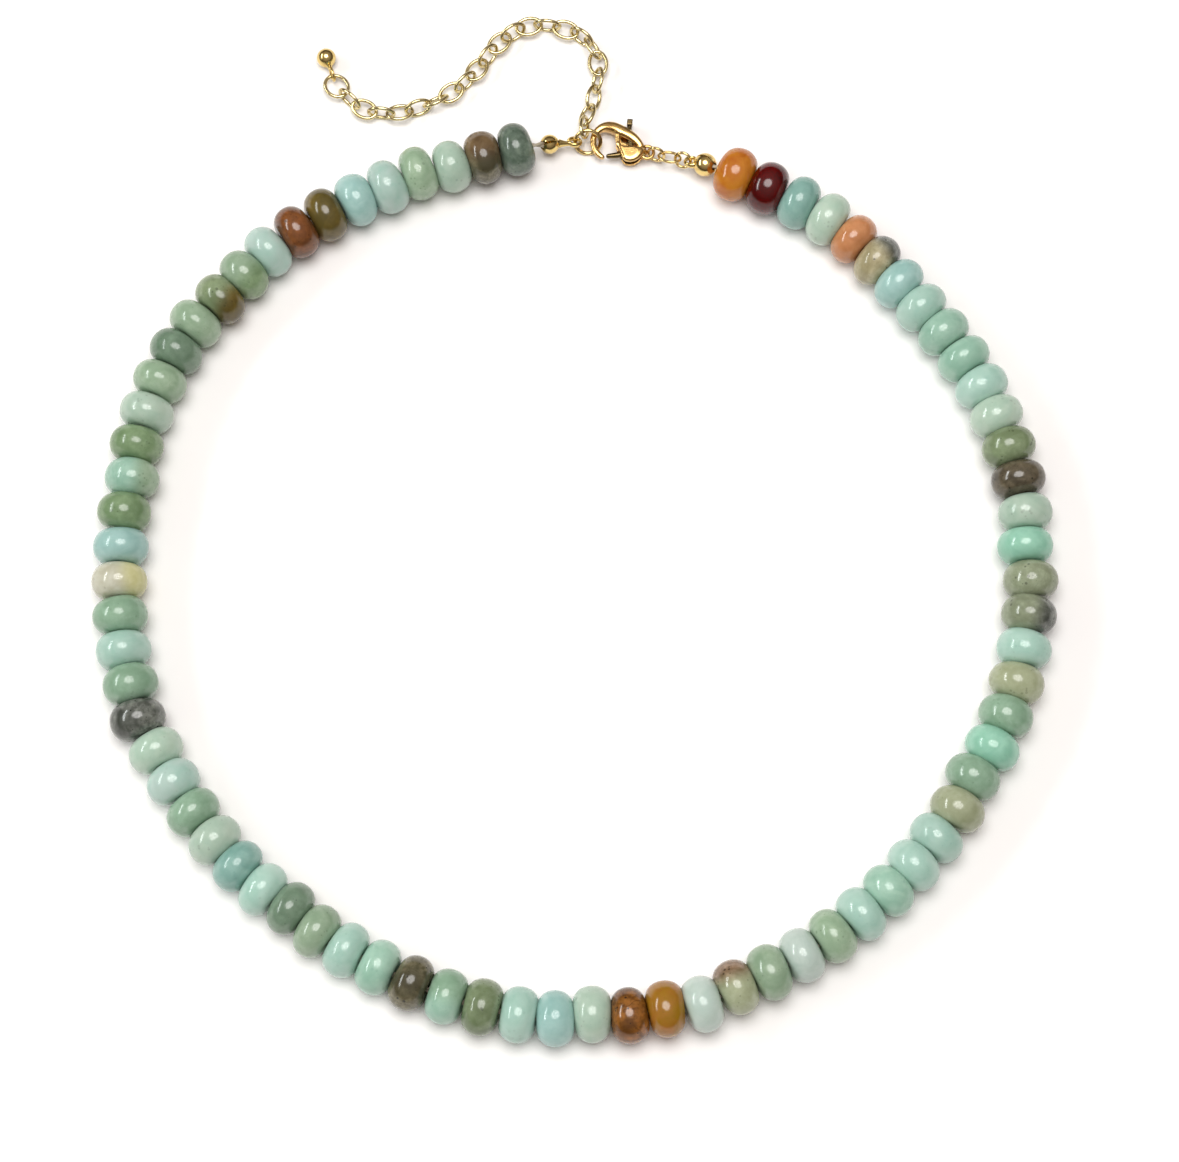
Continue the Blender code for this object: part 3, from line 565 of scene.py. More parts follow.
def swept(path, level, half_level, half_lift, sides=12, closed=False, squareness=2.0):
    """A bar of oval section carried along the path, as points and faces. The section's first half size lies
    along the level direction, its second square to that and to the path: at angle a round the section the
    point is path + half_level * cos(a) ** p * level + half_lift * sin(a) ** p * lift, where p is 2 divided
    by the squareness and each power keeps its sign."""
    along = lines_along(path, closed)
    level = np.broadcast_to(level, path.shape)
    level = unit(level - np.einsum("ij,ij->i", level, along)[:, None] * along)
    lift = np.cross(along, level)
    angle = 2 * math.pi * (np.arange(sides) + 0.5) / sides
    ones = np.ones((len(path), 1))
    cosine = np.sign(np.cos(angle)) * np.abs(np.cos(angle)) ** (2 / squareness)
    sine = np.sign(np.sin(angle)) * np.abs(np.sin(angle)) ** (2 / squareness)
    out_level = (np.reshape(half_level, (-1, 1)) * ones)[:, :, None] * cosine[None, :, None]
    out_lift = (np.reshape(half_lift, (-1, 1)) * ones)[:, :, None] * sine[None, :, None]
    points = path[:, None, :] + out_level * level[:, None, :] + out_lift * lift[:, None, :]
    if closed:
        return points.reshape(-1, 3), grid_quads(len(path), sides, rows_closed=True).tolist()
    return points.reshape(-1, 3), tube_faces(len(path), sides)


def rounded_ends(length, radius):
    """How thick a bar is along its length, as a share of its full size: round at both ends like a pin's
    head. The share is the root of 1 - x ** 2, with x from 0 at one radius before an end to 1 at the end,
    where a small face is left, END_SQUARE being its share squared."""
    edge = np.minimum(length, length[-1] - length)
    inside = np.clip(1 - edge / radius, 0, 1)
    return np.sqrt(np.clip(1 - inside**2, END_SQUARE, 1))


def reach_of(path):
    """The length of the path from its start to each of its points."""
    return np.concatenate([[0.0], np.cumsum(np.linalg.norm(np.diff(path, axis=0), axis=1))])


def evenly(path, count):
    """Points at equal steps on the smooth line through the path's own points."""
    fine = smooth_route(np.arange(len(path)), path, np.linspace(0, len(path) - 1, FINE_STEPS * len(path)))
    reach = reach_of(fine)
    at = np.linspace(0, reach[-1], count)
    return np.column_stack([np.interp(at, reach, fine[:, k]) for k in range(fine.shape[1])])


def thread_strands():
    """Two helices round the thread's line. At the length s along it a strand lies its own radius away, at
    the angle 2 * pi * s / THREAD_TWIST, the second strand half a turn on."""
    knot_left = tip_left + unit(face_left - tip_left) * TIP_LEFT_RADIUS * KNOT_SHARE
    knot_right = tip_right + unit(face_right - tip_right) * TIP_RIGHT_RADIUS * KNOT_SHARE
    path = evenly(np.vstack([knot_left, face_left, bead_middle, face_right, knot_right]), THREAD_STEPS)
    reach = reach_of(path)
    along = lines_along(path)
    level = unit(np.cross(along, UP))
    lift = np.cross(level, along)
    shells = []
    for start in (0.0, math.pi):
        turn = (start + 2 * math.pi * reach / THREAD_TWIST)[:, None]
        strand = path + THREAD_STRAND * (np.cos(turn) * level + np.sin(turn) * lift)
        thick = THREAD_STRAND * rounded_ends(reach, THREAD_STRAND)
        shells.append(swept(strand, level, thick, thick, sides=THREAD_SIDES))
    return shells


def nylon():
    """Dull nylon in a beige that changes from fibre to fibre."""
    made = bpy.data.materials.new("nylon_thread")
    made.use_nodes = True
    tree = made.node_tree
    shader = tree.nodes["Principled BSDF"]
    place = node(tree, "ShaderNodeTexCoord").outputs["Object"]
    fibre = node(tree, "ShaderNodeTexNoise", Vector=place, Scale=4000.0, Detail=2.0)
    tone = blended(tree, fibre.outputs["Fac"], (0.34, 0.28, 0.19, 1.0), (0.60, 0.54, 0.42, 1.0))
    tree.links.new(tone, shader.inputs["Base Color"])
    shader.inputs["Roughness"].default_value = 0.4
    return made


thread_mesh = skin_of("thread", thread_strands())
lay_piece("thread", thread_mesh, nylon(), "stone_left", "bead_run_left", "bead_run_right")


# The jump ring: a round ring of gold-plated brass wire with a butt joint, leaning back on its front edge.
# It ties the left bead tip, the clasp's hook and the extender chain together.
X_AXIS = np.array([1.0, 0.0, 0.0])
JUMP_CENTRE = (-0.25, 65.75)
JUMP_RADIUS = 1.85 * MM
JUMP_WIRE = 0.6 * MM
JUMP_TILT = math.radians(48.0)
JUMP_CUT = math.radians(205.0)
JUMP_CUT_HALF = math.radians(0.9)
JUMP_STEPS = 72
WIRE_STEPS = 44


def plan(point, height=0.0):
    """A point of the plan, given in millimetres, as metres from the middle of the necklace."""
    return np.array([*(np.asarray(point) - PLAN_CENTRE) * MM, height])


def wire_oval(centre, along, across, half_length, half_width, wire, sides=12):
    """A closed ring of round wire: at the angle a its middle line is half_length * cos(a) along and
    half_width * sin(a) across."""
    angle = (2 * math.pi * np.arange(WIRE_STEPS) / WIRE_STEPS)[:, None]
    path = centre + half_length * np.cos(angle) * along + half_width * np.sin(angle) * across
    return swept(path, np.cross(along, across), wire / 2, wire / 2, sides=sides, closed=True)


def gold_wear():
    """Wear of polished gold plate: broad cloudy smudges of the deep tone, which are duller too, and fine
    hairline scratches."""
    group, given, wanted = shader_group(
        "gold_wear",
        [("Gold", "NodeSocketColor"), ("Deep", "NodeSocketColor"), ("Polish", "NodeSocketFloat")],
        [("Colour", "NodeSocketColor"), ("Roughness", "NodeSocketFloat"), ("Height", "NodeSocketFloat")],
    )
    place = node(group, "ShaderNodeTexCoord").outputs["Object"]
    smudge = node(group, "ShaderNodeTexNoise", Vector=place, Scale=700.0, Detail=3.0, Distortion=0.5)
    grain = node(group, "ShaderNodeTexNoise", Vector=place, Scale=5200.0, Detail=2.0)
    hairs = node(group, "ShaderNodeMapping", Vector=place, Scale=(1.0, 9.0, 4.0), Rotation=(0.3, 0.2, 0.6))
    hair = node(group, "ShaderNodeTexNoise", Vector=hairs.outputs["Vector"], Scale=1600.0, Detail=1.0)
    hair_line = spread(group, hair.outputs["Fac"], 0.60, 0.72)
    share = spread(group, smudge.outputs["Fac"], 0.45, 0.75, 0.0, 0.7)
    group.links.new(blended(group, share, given["Gold"], given["Deep"]), wanted["Colour"])
    dull = spread(group, smudge.outputs["Fac"], 0.35, 0.7, 0.0, 0.09)
    rough = arithmetic(group, "ADD", given["Polish"], dull)
    group.links.new(arithmetic(group, "MULTIPLY_ADD", hair_line, 0.08, rough), wanted["Roughness"])
    height = arithmetic(group, "MULTIPLY_ADD", hair_line, -0.6, grain.outputs["Fac"])
    group.links.new(height, wanted["Height"])
    return group


wear_group = gold_wear()


def gold(name, colour, deep, polish):
    """Polished gold plate of one tone and a deeper second one, with the roughness of its clean places."""
    made = bpy.data.materials.new(name)
    made.use_nodes = True
    tree = made.node_tree
    shader = tree.nodes["Principled BSDF"]
    wear = tree.nodes.new("ShaderNodeGroup")
    wear.node_tree = wear_group
    wear.inputs["Gold"].default_value = (*linear(colour), 1.0)
    wear.inputs["Deep"].default_value = (*linear(deep), 1.0)
    wear.inputs["Polish"].default_value = polish
    tree.links.new(wear.outputs["Colour"], shader.inputs["Base Color"])
    tree.links.new(wear.outputs["Roughness"], shader.inputs["Roughness"])
    bump = node(tree, "ShaderNodeBump", Strength=0.12, Distance=0.02 * MM, Height=wear.outputs["Height"])
    tree.links.new(bump.outputs["Normal"], shader.inputs["Normal"])
    shader.inputs["Metallic"].default_value = 1.0
    return made


jump_up = np.array([0.0, math.cos(JUMP_TILT), math.sin(JUMP_TILT)])
jump_middle = plan(JUMP_CENTRE, JUMP_WIRE / 2 + JUMP_RADIUS * math.sin(JUMP_TILT))
cut_end = JUMP_CUT + 2 * math.pi - JUMP_CUT_HALF
cut_turn = np.linspace(JUMP_CUT + JUMP_CUT_HALF, cut_end, JUMP_STEPS)[:, None]
jump_path = jump_middle + JUMP_RADIUS * (np.cos(cut_turn) * X_AXIS + np.sin(cut_turn) * jump_up)
jump_shell = swept(jump_path, np.cross(X_AXIS, jump_up), JUMP_WIRE / 2, JUMP_WIRE / 2, sides=16)
ring_gold = gold("ring_gold", colour=(228, 202, 140), deep=(170, 136, 76), polish=0.13)
lay_piece("jump_ring_wire", skin_of("jump_ring_wire", [jump_shell]), ring_gold, "ring_gold", "jump_ring")


# The extender: a cable chain of soldered oval links of gold-plated brass wire, each turned about a quarter
# round from the last and slumped as it lies. Its last link hangs in the jump ring. The plating makes the
# wire thicker inwards, so that a link's outer size is that of the bare wire's.
LINK_WIRE = 0.46 * MM
LINK_WIRE_PLATED = 0.54 * MM
LINK_LENGTH = 4.25 * MM
LINK_WIDTH = 3.05 * MM
END_LINK_WIDTH = 3.7 * MM
LINK_LIFT = 1.3 * MM
LINK_OFF_TABLE = 0.005 * MM
# The chain's line: the numbers of the links that it is drawn through, and their places in the plan.
LINK_ROUTE = [
    (1, -37.0, 74.6),
    (3, -32.9, 71.0),
    (5, -27.7, 70.5),
    (7, -22.5, 72.3),
    (9, -18.2, 75.2),
    (12, -13.2, 81.4),
    (14, -8.9, 84.0),
    (16, -3.5, 83.5),
    (18, 0.5, 80.6),
    (20, 1.2, 75.5),
    (22, -0.3, 70.1),
]
# How far each link is rolled about the chain's line, in degrees.
LINK_ROLLS = [
    *(-5, 75, 5, 80, -20, 60, 125, 180),
    *(250, 175, 240, 180, 240, 180, 260, 180),
    *(250, 305, 365, 420, 490, 585, 655),
]
JUMP_HANG = math.radians(110.0)
LAST_LINK_PLAY = 1.5 * GAP
link_half_length = (LINK_LENGTH - LINK_WIRE) / 2
link_half_width = (LINK_WIDTH - LINK_WIRE) / 2


def rolled(along, roll):
    """The sideways direction of a ring that runs along a line and is rolled about it."""
    level = unit(np.cross(UP, along))
    return math.cos(roll) * level + math.sin(roll) * np.cross(along, level)


def link_middles():
    """The middle of every link, and the line from the jump ring along which the last one hangs."""
    route = np.array(LINK_ROUTE)
    spots = smooth_route(route[:, 0], route[:, 1:] - PLAN_CENTRE, np.arange(1, len(LINK_ROLLS)))
    rolls = np.radians(LINK_ROLLS[:-1])
    standing = LINK_WIRE / 2 + LINK_OFF_TABLE + link_half_width * np.abs(np.sin(rolls))
    middles = np.column_stack([spots * MM, np.maximum(standing, LINK_LIFT)])
    hang = jump_middle + JUMP_RADIUS * (math.cos(JUMP_HANG) * X_AXIS + math.sin(JUMP_HANG) * jump_up)
    away = unit(middles[-1] - hang)
    reach = link_half_length - (LINK_WIRE + JUMP_WIRE) / 2 - LAST_LINK_PLAY
    return np.vstack([middles, hang + away * reach]), away


link_middle, last_away = link_middles()
link_ahead = np.vstack([link_middle[1:], link_middle[-1]])
link_behind = np.vstack([link_middle[0], link_middle[:-1]])
link_along = unit(link_ahead - link_behind)
link_along[-1] = -last_away
plating = (LINK_WIRE_PLATED - LINK_WIRE) / 2
chain_gold = gold("chain_gold", colour=(224, 208, 158), deep=(160, 138, 88), polish=0.13)
for k, roll in enumerate(LINK_ROLLS):
    wide = (END_LINK_WIDTH - LINK_WIRE) / 2 if k == 0 else link_half_width
    across = rolled(link_along[k], math.radians(roll))
    shell = wire_oval(
        link_middle[k], link_along[k], across, link_half_length - plating, wide - plating, LINK_WIRE_PLATED
    )
    name = f"chain_link_{k + 1:02d}"
    lay_piece(name, skin_of(name, [shell]), chain_gold, "chain_gold", f"extender_link_{k + 1:02d}")


# The end ball: a plain ball drawn out into a short neck, with an eye of wire soldered on. Gold-plated brass
# too, it hangs in the first link as the chain's loose end.
RING_WIRE = 0.45 * MM
END_BALL = (-38.9, 79.9)
END_BALL_RADIUS = 1.4 * MM
END_BALL_HANG_SHARE = 0.95
BALL_EYE_RADIUS = 0.95 * MM
BALL_EYE_ROLL = math.radians(85.0)
BALL_NECK = 0.35 * MM
BALL_POLE_DEGREES = 179.0
BALL_NECK_DEGREES = 24.0
BALL_STEPS = 26
BALL_SIDES = 40
NECK_START_SHARE = 1.02
# The neck as distances from its start and radii, in millimetres.
NECK_PROFILE = ((0.0, 0.40), (0.1, 0.33), (0.25, 0.30), (0.5, 0.28))
UPRIGHT_LEAN = 0.05


def turned(base, axis, profile, sides=32):
    """A closed shell turned about a line, from (distance along the line, radius) pairs: with the turn a,
    each pair's point lies its radius away at cos(a) along one side and sin(a) along the other. A first or
    last radius near nothing makes a pole. The first side is square to a line that leans a little, so that an
    upright axis has one too."""
    side = unit(np.cross(axis, UP + UPRIGHT_LEAN * X_AXIS))
    other = np.cross(axis, side)
    angle = 2 * math.pi * np.arange(sides) / sides
    ring = np.cos(angle)[:, None] * side + np.sin(angle)[:, None] * other
    profile = np.asarray(profile, float)
    points = base + profile[:, 0, None, None] * axis + profile[:, 1, None, None] * ring[None]
    return points.reshape(-1, 3), tube_faces(len(profile), sides)


def next_middle(last, aim, last_reach, reach, last_wire=RING_WIRE, wire=RING_WIRE):
    """The middle of a ring hung on the one before it, in the direction of a point."""
    return last + unit(aim - last) * (last_reach + reach - (last_wire + wire) / 2 - GAP)


def end_ball_shells():
    """A sphere that runs out into a neck, with distances along the neck's line, and the eye on its end."""
    aim = plan(END_BALL, END_BALL_RADIUS)
    hung = link_half_length * END_BALL_HANG_SHARE
    eye = next_middle(link_middle[0], aim, hung, BALL_EYE_RADIUS, last_wire=LINK_WIRE)
    line = unit(eye - aim)
    ball = eye - line * (BALL_EYE_RADIUS + BALL_NECK + END_BALL_RADIUS)
    off_table = max(0.0, END_BALL_RADIUS - ball[2]) * UP
    ball, eye = ball + off_table, eye + off_table
    turn = np.radians(np.linspace(BALL_POLE_DEGREES, BALL_NECK_DEGREES, BALL_STEPS))
    profile = list(zip(END_BALL_RADIUS * np.cos(turn), END_BALL_RADIUS * np.sin(turn)))
    neck_start = END_BALL_RADIUS * NECK_START_SHARE
    for step, width in NECK_PROFILE:
        profile.append((neck_start + step * MM, width * MM))
    across = rolled(line, BALL_EYE_ROLL)
    eye_shell = wire_oval(eye, line, across, BALL_EYE_RADIUS, BALL_EYE_RADIUS, RING_WIRE)
    return [turned(ball, line, profile, BALL_SIDES), eye_shell]


tip_gold = gold("tip_gold", colour=(230, 204, 134), deep=(176, 140, 74), polish=0.12)
lay_piece("end_ball", skin_of("end_ball", end_ball_shells()), tip_gold, "tip_gold", "extender_ball")


# The lobster clasp: one small casting of gold-plated brass with the hook, the shoulder that holds the
# lever's pin between two cheeks, and the eye. It is drawn in its own plane in millimetres, u from the hook
# to the eye and v towards the hook's back.
CLASP_CENTRE = (4.15, 65.67)
CLASP_TURN = math.radians(-16.3)
CLASP_HEIGHT = 1.7 * MM
CLASP_HALF_THICKNESS = 1.3
PIVOT_UV = (2.35, -0.95)
EYE_UV = (4.5, -0.3)
EYE_RADIUS = 0.95
EYE_WIRE = 0.5
NECK_UV = (3.85, -0.45)
NECK_RADIUS = 0.72
LEVER_THICKNESS = 0.9
LEVER_ROOT_RADIUS = 0.9
SLOT_CLEARANCE = 0.18
# How far the slot reaches from the pin towards the eye, the hook, the hook's back and the front.
SLOT_TO_EYE = 0.8
SLOT_TO_HOOK = 2.1
SLOT_TO_BACK = 5.0
SLOT_TO_FRONT = 1.08
RECESS_EDGE = 0.05
HOOK_SQUARENESS = 3.0
HOOK_STEPS = 110
BAR_SIDES = 24
BAR_END = 0.3
# The hook from the shoulder round to its tip: u, v, half its breadth and half its thickness.
HOOK_PATH = [
    (3.75, -0.10, 0.50, 0.70),
    (3.05, 0.48, 0.62, 0.92),
    (2.30, 0.98, 0.72, 1.04),
    (1.30, 1.38, 0.80, 1.10),
    (0.10, 1.68, 0.86, 1.08),
    (-1.20, 1.92, 0.82, 1.00),
    (-2.40, 1.74, 0.68, 0.82),
    (-3.25, 1.00, 0.54, 0.62),
    (-3.60, -0.05, 0.48, 0.50),
    (-3.42, -1.10, 0.46, 0.48),
    (-2.90, -2.00, 0.45, 0.48),
    (-2.05, -2.66, 0.42, 0.46),
    (-1.20, -2.95, 0.27, 0.36),
]
# The outline of the upper cheek, which stops short of the hook's back so that the slot is open from above,
# then that of the arm that ties it to the back beside the opening, and that of the lower cheek, which
# closes the slot from below.
CHEEK_OUTLINE = [
    (-0.10, -0.30),
    (0.30, -0.50),
    (0.80, -0.62),
    (1.40, -0.50),
    (2.00, -0.30),
    (2.60, -0.18),
    (3.20, -0.12),
    (3.80, -0.12),
    (4.12, -0.50),
    (4.05, -1.15),
    (3.75, -1.80),
    (3.25, -2.38),
    (2.60, -2.72),
    (1.95, -2.80),
    (1.50, -2.62),
    (1.12, -2.20),
    (0.72, -1.70),
    (0.34, -1.24),
    (0.02, -0.80),
]
ARM_OUTLINE = [
    (-0.80, 1.10),
    (-0.05, 1.25),
    (0.16, 0.30),
    (0.62, -0.75),
    (0.24, -1.20),
    (-0.08, -0.78),
    (-0.34, 0.10),
]
LOWER_OUTLINE = [
    (-0.80, 1.10),
    (0.40, 1.50),
    (1.60, 1.20),
    (2.60, 0.70),
    (3.50, 0.10),
    *CHEEK_OUTLINE[8:],
    (-0.08, -0.78),
    (-0.34, 0.10),
]
# The heights of a plate's layers as shares of its thickness, and how far the outline is drawn in at each.
PLATE_LAYERS = np.array([0.0, 0.2, 0.5, 0.75, 0.9, 1.0])
CHEEK_DRAWN_IN = (0.96, 1.0, 1.0, 0.95, 0.84, 0.62)
ARM_DRAWN_IN = (1.0, 1.0, 1.0, 1.0, 0.94, 0.8)
LOWER_DRAWN_IN = (0.8, 0.92, 1.0, 1.0, 1.0, 1.0)
CHEEK_INSIDE = 0.55
ARM_TOP = 1.1
CAST_GRAIN = 0.075 * MM
CAST_PASSES = 4
POLE_RADIUS = 0.02
RIM_STEPS = 7
BALL_PROFILE_STEPS = 25
# The riveted pin as heights and radii, with a head at each end.
PIN_PROFILE = [
    (-1.30, POLE_RADIUS),
    (-1.29, 0.28),
    (-1.20, 0.34),
    (-1.05, 0.28),
    (1.05, 0.28),
    (1.20, 0.34),
    (1.29, 0.28),
    (1.30, POLE_RADIUS),
]
SHARP_EDGE = math.radians(50.0)
clasp_middle = plan(CLASP_CENTRE, CLASP_HEIGHT)
U_AXIS = np.array([math.cos(CLASP_TURN), math.sin(CLASP_TURN), 0.0])
V_AXIS = np.array([-math.sin(CLASP_TURN), math.cos(CLASP_TURN), 0.0])


def on_clasp(u, v, w=0.0):
    """A point of the clasp's own plane, all three in millimetres."""
    return clasp_middle + (u * U_AXIS + v * V_AXIS + w * UP) * MM


def bar_on_clasp(path, count, squareness=2.0):
    """A bar through points of the clasp's plane, each with its half breadth and half thickness."""
    path = evenly(np.asarray(path, float), count)
    places = clasp_middle + (path[:, :1] * U_AXIS + path[:, 1:2] * V_AXIS) * MM
    ends = rounded_ends(reach_of(places), BAR_END * MM)
    side = np.cross(lines_along(places), UP)
    breadth = path[:, 2] * ends * MM
    thickness = path[:, 3] * ends * MM
    return swept(places, side, breadth, thickness, BAR_SIDES, squareness=squareness)


def plate(outline, low, high, drawn_in):
    """A plate of the clasp between two heights: in each layer the outline's points lie at the layer's share
    of their distance from its middle."""
    outline = np.array(outline)
    middle = outline.mean(axis=0)
    layers = []
    for height, share in zip(low + (high - low) * PLATE_LAYERS, drawn_in):
        flat = middle + (outline - middle) * share
        layers.append(clasp_middle + (flat[:, :1] * U_AXIS + flat[:, 1:] * V_AXIS + height * UP) * MM)
    return np.vstack(layers), tube_faces(len(layers), len(outline))


def drum(centre, radius, half_height, edge):
    """A short upright cylinder in millimetres, both rims rounded by a quarter circle of radius edge."""
    turn = np.radians(np.linspace(0, 90, RIM_STEPS))
    rim = radius - edge + edge * np.sin(turn)
    low = -half_height + edge - edge * np.cos(turn)
    bottom, top = (-half_height, POLE_RADIUS), (half_height, POLE_RADIUS)
    profile = [bottom, *zip(low, rim), *zip(-low[::-1], rim[::-1]), top]
    return turned(centre, UP, np.array(profile) * MM)


def block(centre, along, across, upwards, half_sizes):
    """A box with its half sizes, in millimetres, along three directions."""
    signs = np.array([(i, j, k) for i in (-1, 1) for j in (-1, 1) for k in (-1, 1)])
    corners = signs * np.array(half_sizes) * MM
    points = centre + corners @ np.array([along, across, upwards])
    return points, [(0, 1, 3, 2), (4, 6, 7, 5), (0, 4, 5, 1), (2, 3, 7, 6), (0, 2, 6, 4), (1, 5, 7, 3)]


def ball_profile():
    """A ball of radius 1 as pairs of a distance along its axis, cos(a), and a radius, sin(a)."""
    turn = np.radians(np.linspace(BALL_POLE_DEGREES, 180 - BALL_POLE_DEGREES, BALL_PROFILE_STEPS))
    return np.column_stack([np.cos(turn), np.sin(turn)])


def changed(mesh, *changes):
    """The mesh after these modifiers, each given as its kind and settings."""
    source = bpy.data.objects.new("source", mesh)
    bpy.context.scene.collection.objects.link(source)
    tools = []
    for kind, settings in changes:
        modifier = source.modifiers.new(kind.lower(), kind)
        for key, value in settings.items():
            if key == "object":
                value = bpy.data.objects.new("tool", value)
                bpy.context.scene.collection.objects.link(value)
                tools.append(value)
            setattr(modifier, key, value)
    graph = bpy.context.evaluated_depsgraph_get()
    made = bpy.data.meshes.new_from_object(source.evaluated_get(graph))
    for used in (source, *tools):
        bpy.data.objects.remove(used, do_unlink=True)
    return made


def boolean(operation, name, shells):
    """The change that adds these closed shells to a mesh, or cuts them out of it."""
    return "BOOLEAN", {"operation": operation, "solver": "EXACT", "object": skin_of(name, shells)}


def cast(shells):
    """One casting out of shells that overlap: a single skin with its inner corners filled and its edges
    rounded."""
    return changed(
        skin_of("casting", shells),
        ("REMESH", {"mode": "VOXEL", "voxel_size": CAST_GRAIN}),
        ("SMOOTH", {"factor": 0.5, "iterations": CAST_PASSES}),
    )


pivot = on_clasp(*PIVOT_UV)
clasp_eye = on_clasp(*EYE_UV)
hook_shell = bar_on_clasp(HOOK_PATH, HOOK_STEPS, squareness=HOOK_SQUARENESS)
upper_cheek = plate(CHEEK_OUTLINE, CHEEK_INSIDE, CLASP_HALF_THICKNESS, CHEEK_DRAWN_IN)
arm = plate(ARM_OUTLINE, CHEEK_INSIDE, ARM_TOP, ARM_DRAWN_IN)
lower_cheek = plate(LOWER_OUTLINE, -CLASP_HALF_THICKNESS, -CHEEK_INSIDE, LOWER_DRAWN_IN)
neck_shell = turned(on_clasp(*NECK_UV), UP, NECK_RADIUS * MM * ball_profile())
eye_half = EYE_RADIUS * MM
eye_shell = wire_oval(clasp_eye, U_AXIS, V_AXIS, eye_half, eye_half, EYE_WIRE * MM, sides=16)
slot_half = LEVER_THICKNESS / 2 + SLOT_CLEARANCE
slot_middle = (SLOT_TO_EYE - SLOT_TO_HOOK) / 2 * U_AXIS + (SLOT_TO_BACK - SLOT_TO_FRONT) / 2 * V_AXIS
slot_half_sizes = ((SLOT_TO_HOOK + SLOT_TO_EYE) / 2, (SLOT_TO_BACK + SLOT_TO_FRONT) / 2, slot_half)
slot_block = block(pivot + slot_middle * MM, U_AXIS, V_AXIS, UP, slot_half_sizes)
recess_drum = drum(pivot, LEVER_ROOT_RADIUS + SLOT_CLEARANCE, slot_half, RECESS_EDGE)
body_mesh = changed(
    cast([hook_shell, upper_cheek, arm, lower_cheek, neck_shell, eye_shell]),
    boolean("DIFFERENCE", "slot", [slot_block]),
    boolean("DIFFERENCE", "recess", [recess_drum]),
)
pin_shell = turned(pivot, UP, np.array(PIN_PROFILE) * MM)
body_mesh = changed(body_mesh, boolean("UNION", "pin", [pin_shell]))
clasp_gold = gold("clasp_gold", colour=(220, 182, 116), deep=(146, 104, 54), polish=0.12)
clasp_piece = lay_piece("clasp_casting", body_mesh, clasp_gold, "clasp_gold", "clasp_body")
clasp_piece.data.set_sharp_from_angle(angle=SHARP_EDGE)


# The lever: a gate that closes the hook, its root on the pin and the stem of its thumb tab, in one
# casting. Its gold is painted a dark brown as painted shade and painted dark reflection: the gate and the
# tab lie in shadow and reflect the dim room. It turns about the pin in the slot of the clasp's shoulder.
# Each point of the gate and of the stem is u, v and half the breadth.
GATE_PATH = [(1.95, -1.15, 0.50), (1.30, -1.47, 0.46), (0.50, -1.90, 0.45), (-1.08, -2.60, 0.31)]
STEM_PATH = [(2.15, -0.40, 0.50), (1.65, 0.90, 0.42), (1.10, 2.05, 0.38), (0.92, 2.90, 0.36)]
TAB_UV = (0.83, 3.28)
TAB_HALF_SIZES = (0.40, 0.45, 0.80)
TAB_LEAN = math.radians(12.0)
GATE_STEPS = 34
STEM_STEPS = 40
LEVER_ROOT_EDGE = 0.1
PIN_HOLE_RADIUS = 0.4
PIN_HOLE_HALF_LENGTH = 1.0


def lever_bar(path, count):
    """A bar of the lever, of the same thickness from end to end."""
    return bar_on_clasp([(u, v, half, LEVER_THICKNESS / 2) for u, v, half in path], count)


tab_up = math.cos(TAB_LEAN) * V_AXIS - math.sin(TAB_LEAN) * U_AXIS
tab_along = np.cross(tab_up, UP)
lever_shells = [
    lever_bar(GATE_PATH, GATE_STEPS),
    lever_bar(STEM_PATH, STEM_STEPS),
    drum(pivot, LEVER_ROOT_RADIUS, LEVER_THICKNESS / 2, LEVER_ROOT_EDGE),
    block(on_clasp(*TAB_UV), tab_along, tab_up, UP, TAB_HALF_SIZES),
]
hole_profile = [
    (-PIN_HOLE_HALF_LENGTH, POLE_RADIUS),
    (-PIN_HOLE_HALF_LENGTH, PIN_HOLE_RADIUS),
    (PIN_HOLE_HALF_LENGTH, PIN_HOLE_RADIUS),
    (PIN_HOLE_HALF_LENGTH, POLE_RADIUS),
]
hole_shell = turned(pivot, UP, np.array(hole_profile) * MM)
lever_mesh = changed(cast(lever_shells), boolean("DIFFERENCE", "hole", [hole_shell]))
# The lever's gold is painted dark brown: painted shade and painted dark reflection, not a darker metal.
lever_gold = gold("lever_gold", colour=(104, 88, 58), deep=(56, 46, 30), polish=0.2)
lever_piece = lay_piece(
    "clasp_lever_casting", lever_mesh, lever_gold, "lever_gold", "clasp_lever", body="lever"
)
lever_piece.data.set_sharp_from_angle(angle=SHARP_EDGE)


# Three small rings between the clasp's eye and the right bead tip, each hung in the last: a round ring, an
# oval link and a round ring again, all bent of gold-plated brass wire.
NEAR_RADIUS = 1.2 * MM
NEAR_ROLL = math.radians(66.0)
OVAL_HALF_LENGTH = 1.6 * MM
OVAL_HALF_WIDTH = 1.1 * MM
OVAL_ROLL = math.radians(-30.0)
FAR_RADIUS = 1.15 * MM
FAR_ROLL = math.radians(50.0)
LOOP_RADIUS = 0.9 * MM
near = next_middle(clasp_eye, tip_right, eye_half, NEAR_RADIUS, last_wire=EYE_WIRE * MM)
oval = next_middle(near, tip_right, NEAR_RADIUS, OVAL_HALF_LENGTH)
far = next_middle(oval, tip_right, OVAL_HALF_LENGTH, FAR_RADIUS)
right_loop = next_middle(far, tip_right, FAR_RADIUS, LOOP_RADIUS)
ring_line = unit(tip_right - clasp_eye)
for name, cad_node, middle, half_length, half_width, roll in (
    ("ring_near", "clasp_ring_near", near, NEAR_RADIUS, NEAR_RADIUS, NEAR_ROLL),
    ("link_oval", "clasp_link_oval", oval, OVAL_HALF_LENGTH, OVAL_HALF_WIDTH, OVAL_ROLL),
    ("ring_far", "clasp_ring_far", far, FAR_RADIUS, FAR_RADIUS, FAR_ROLL),
):
    shell = wire_oval(middle, ring_line, rolled(ring_line, roll), half_length, half_width, RING_WIRE)
    lay_piece(name, skin_of(name, [shell]), ring_gold, "ring_gold", cad_node)


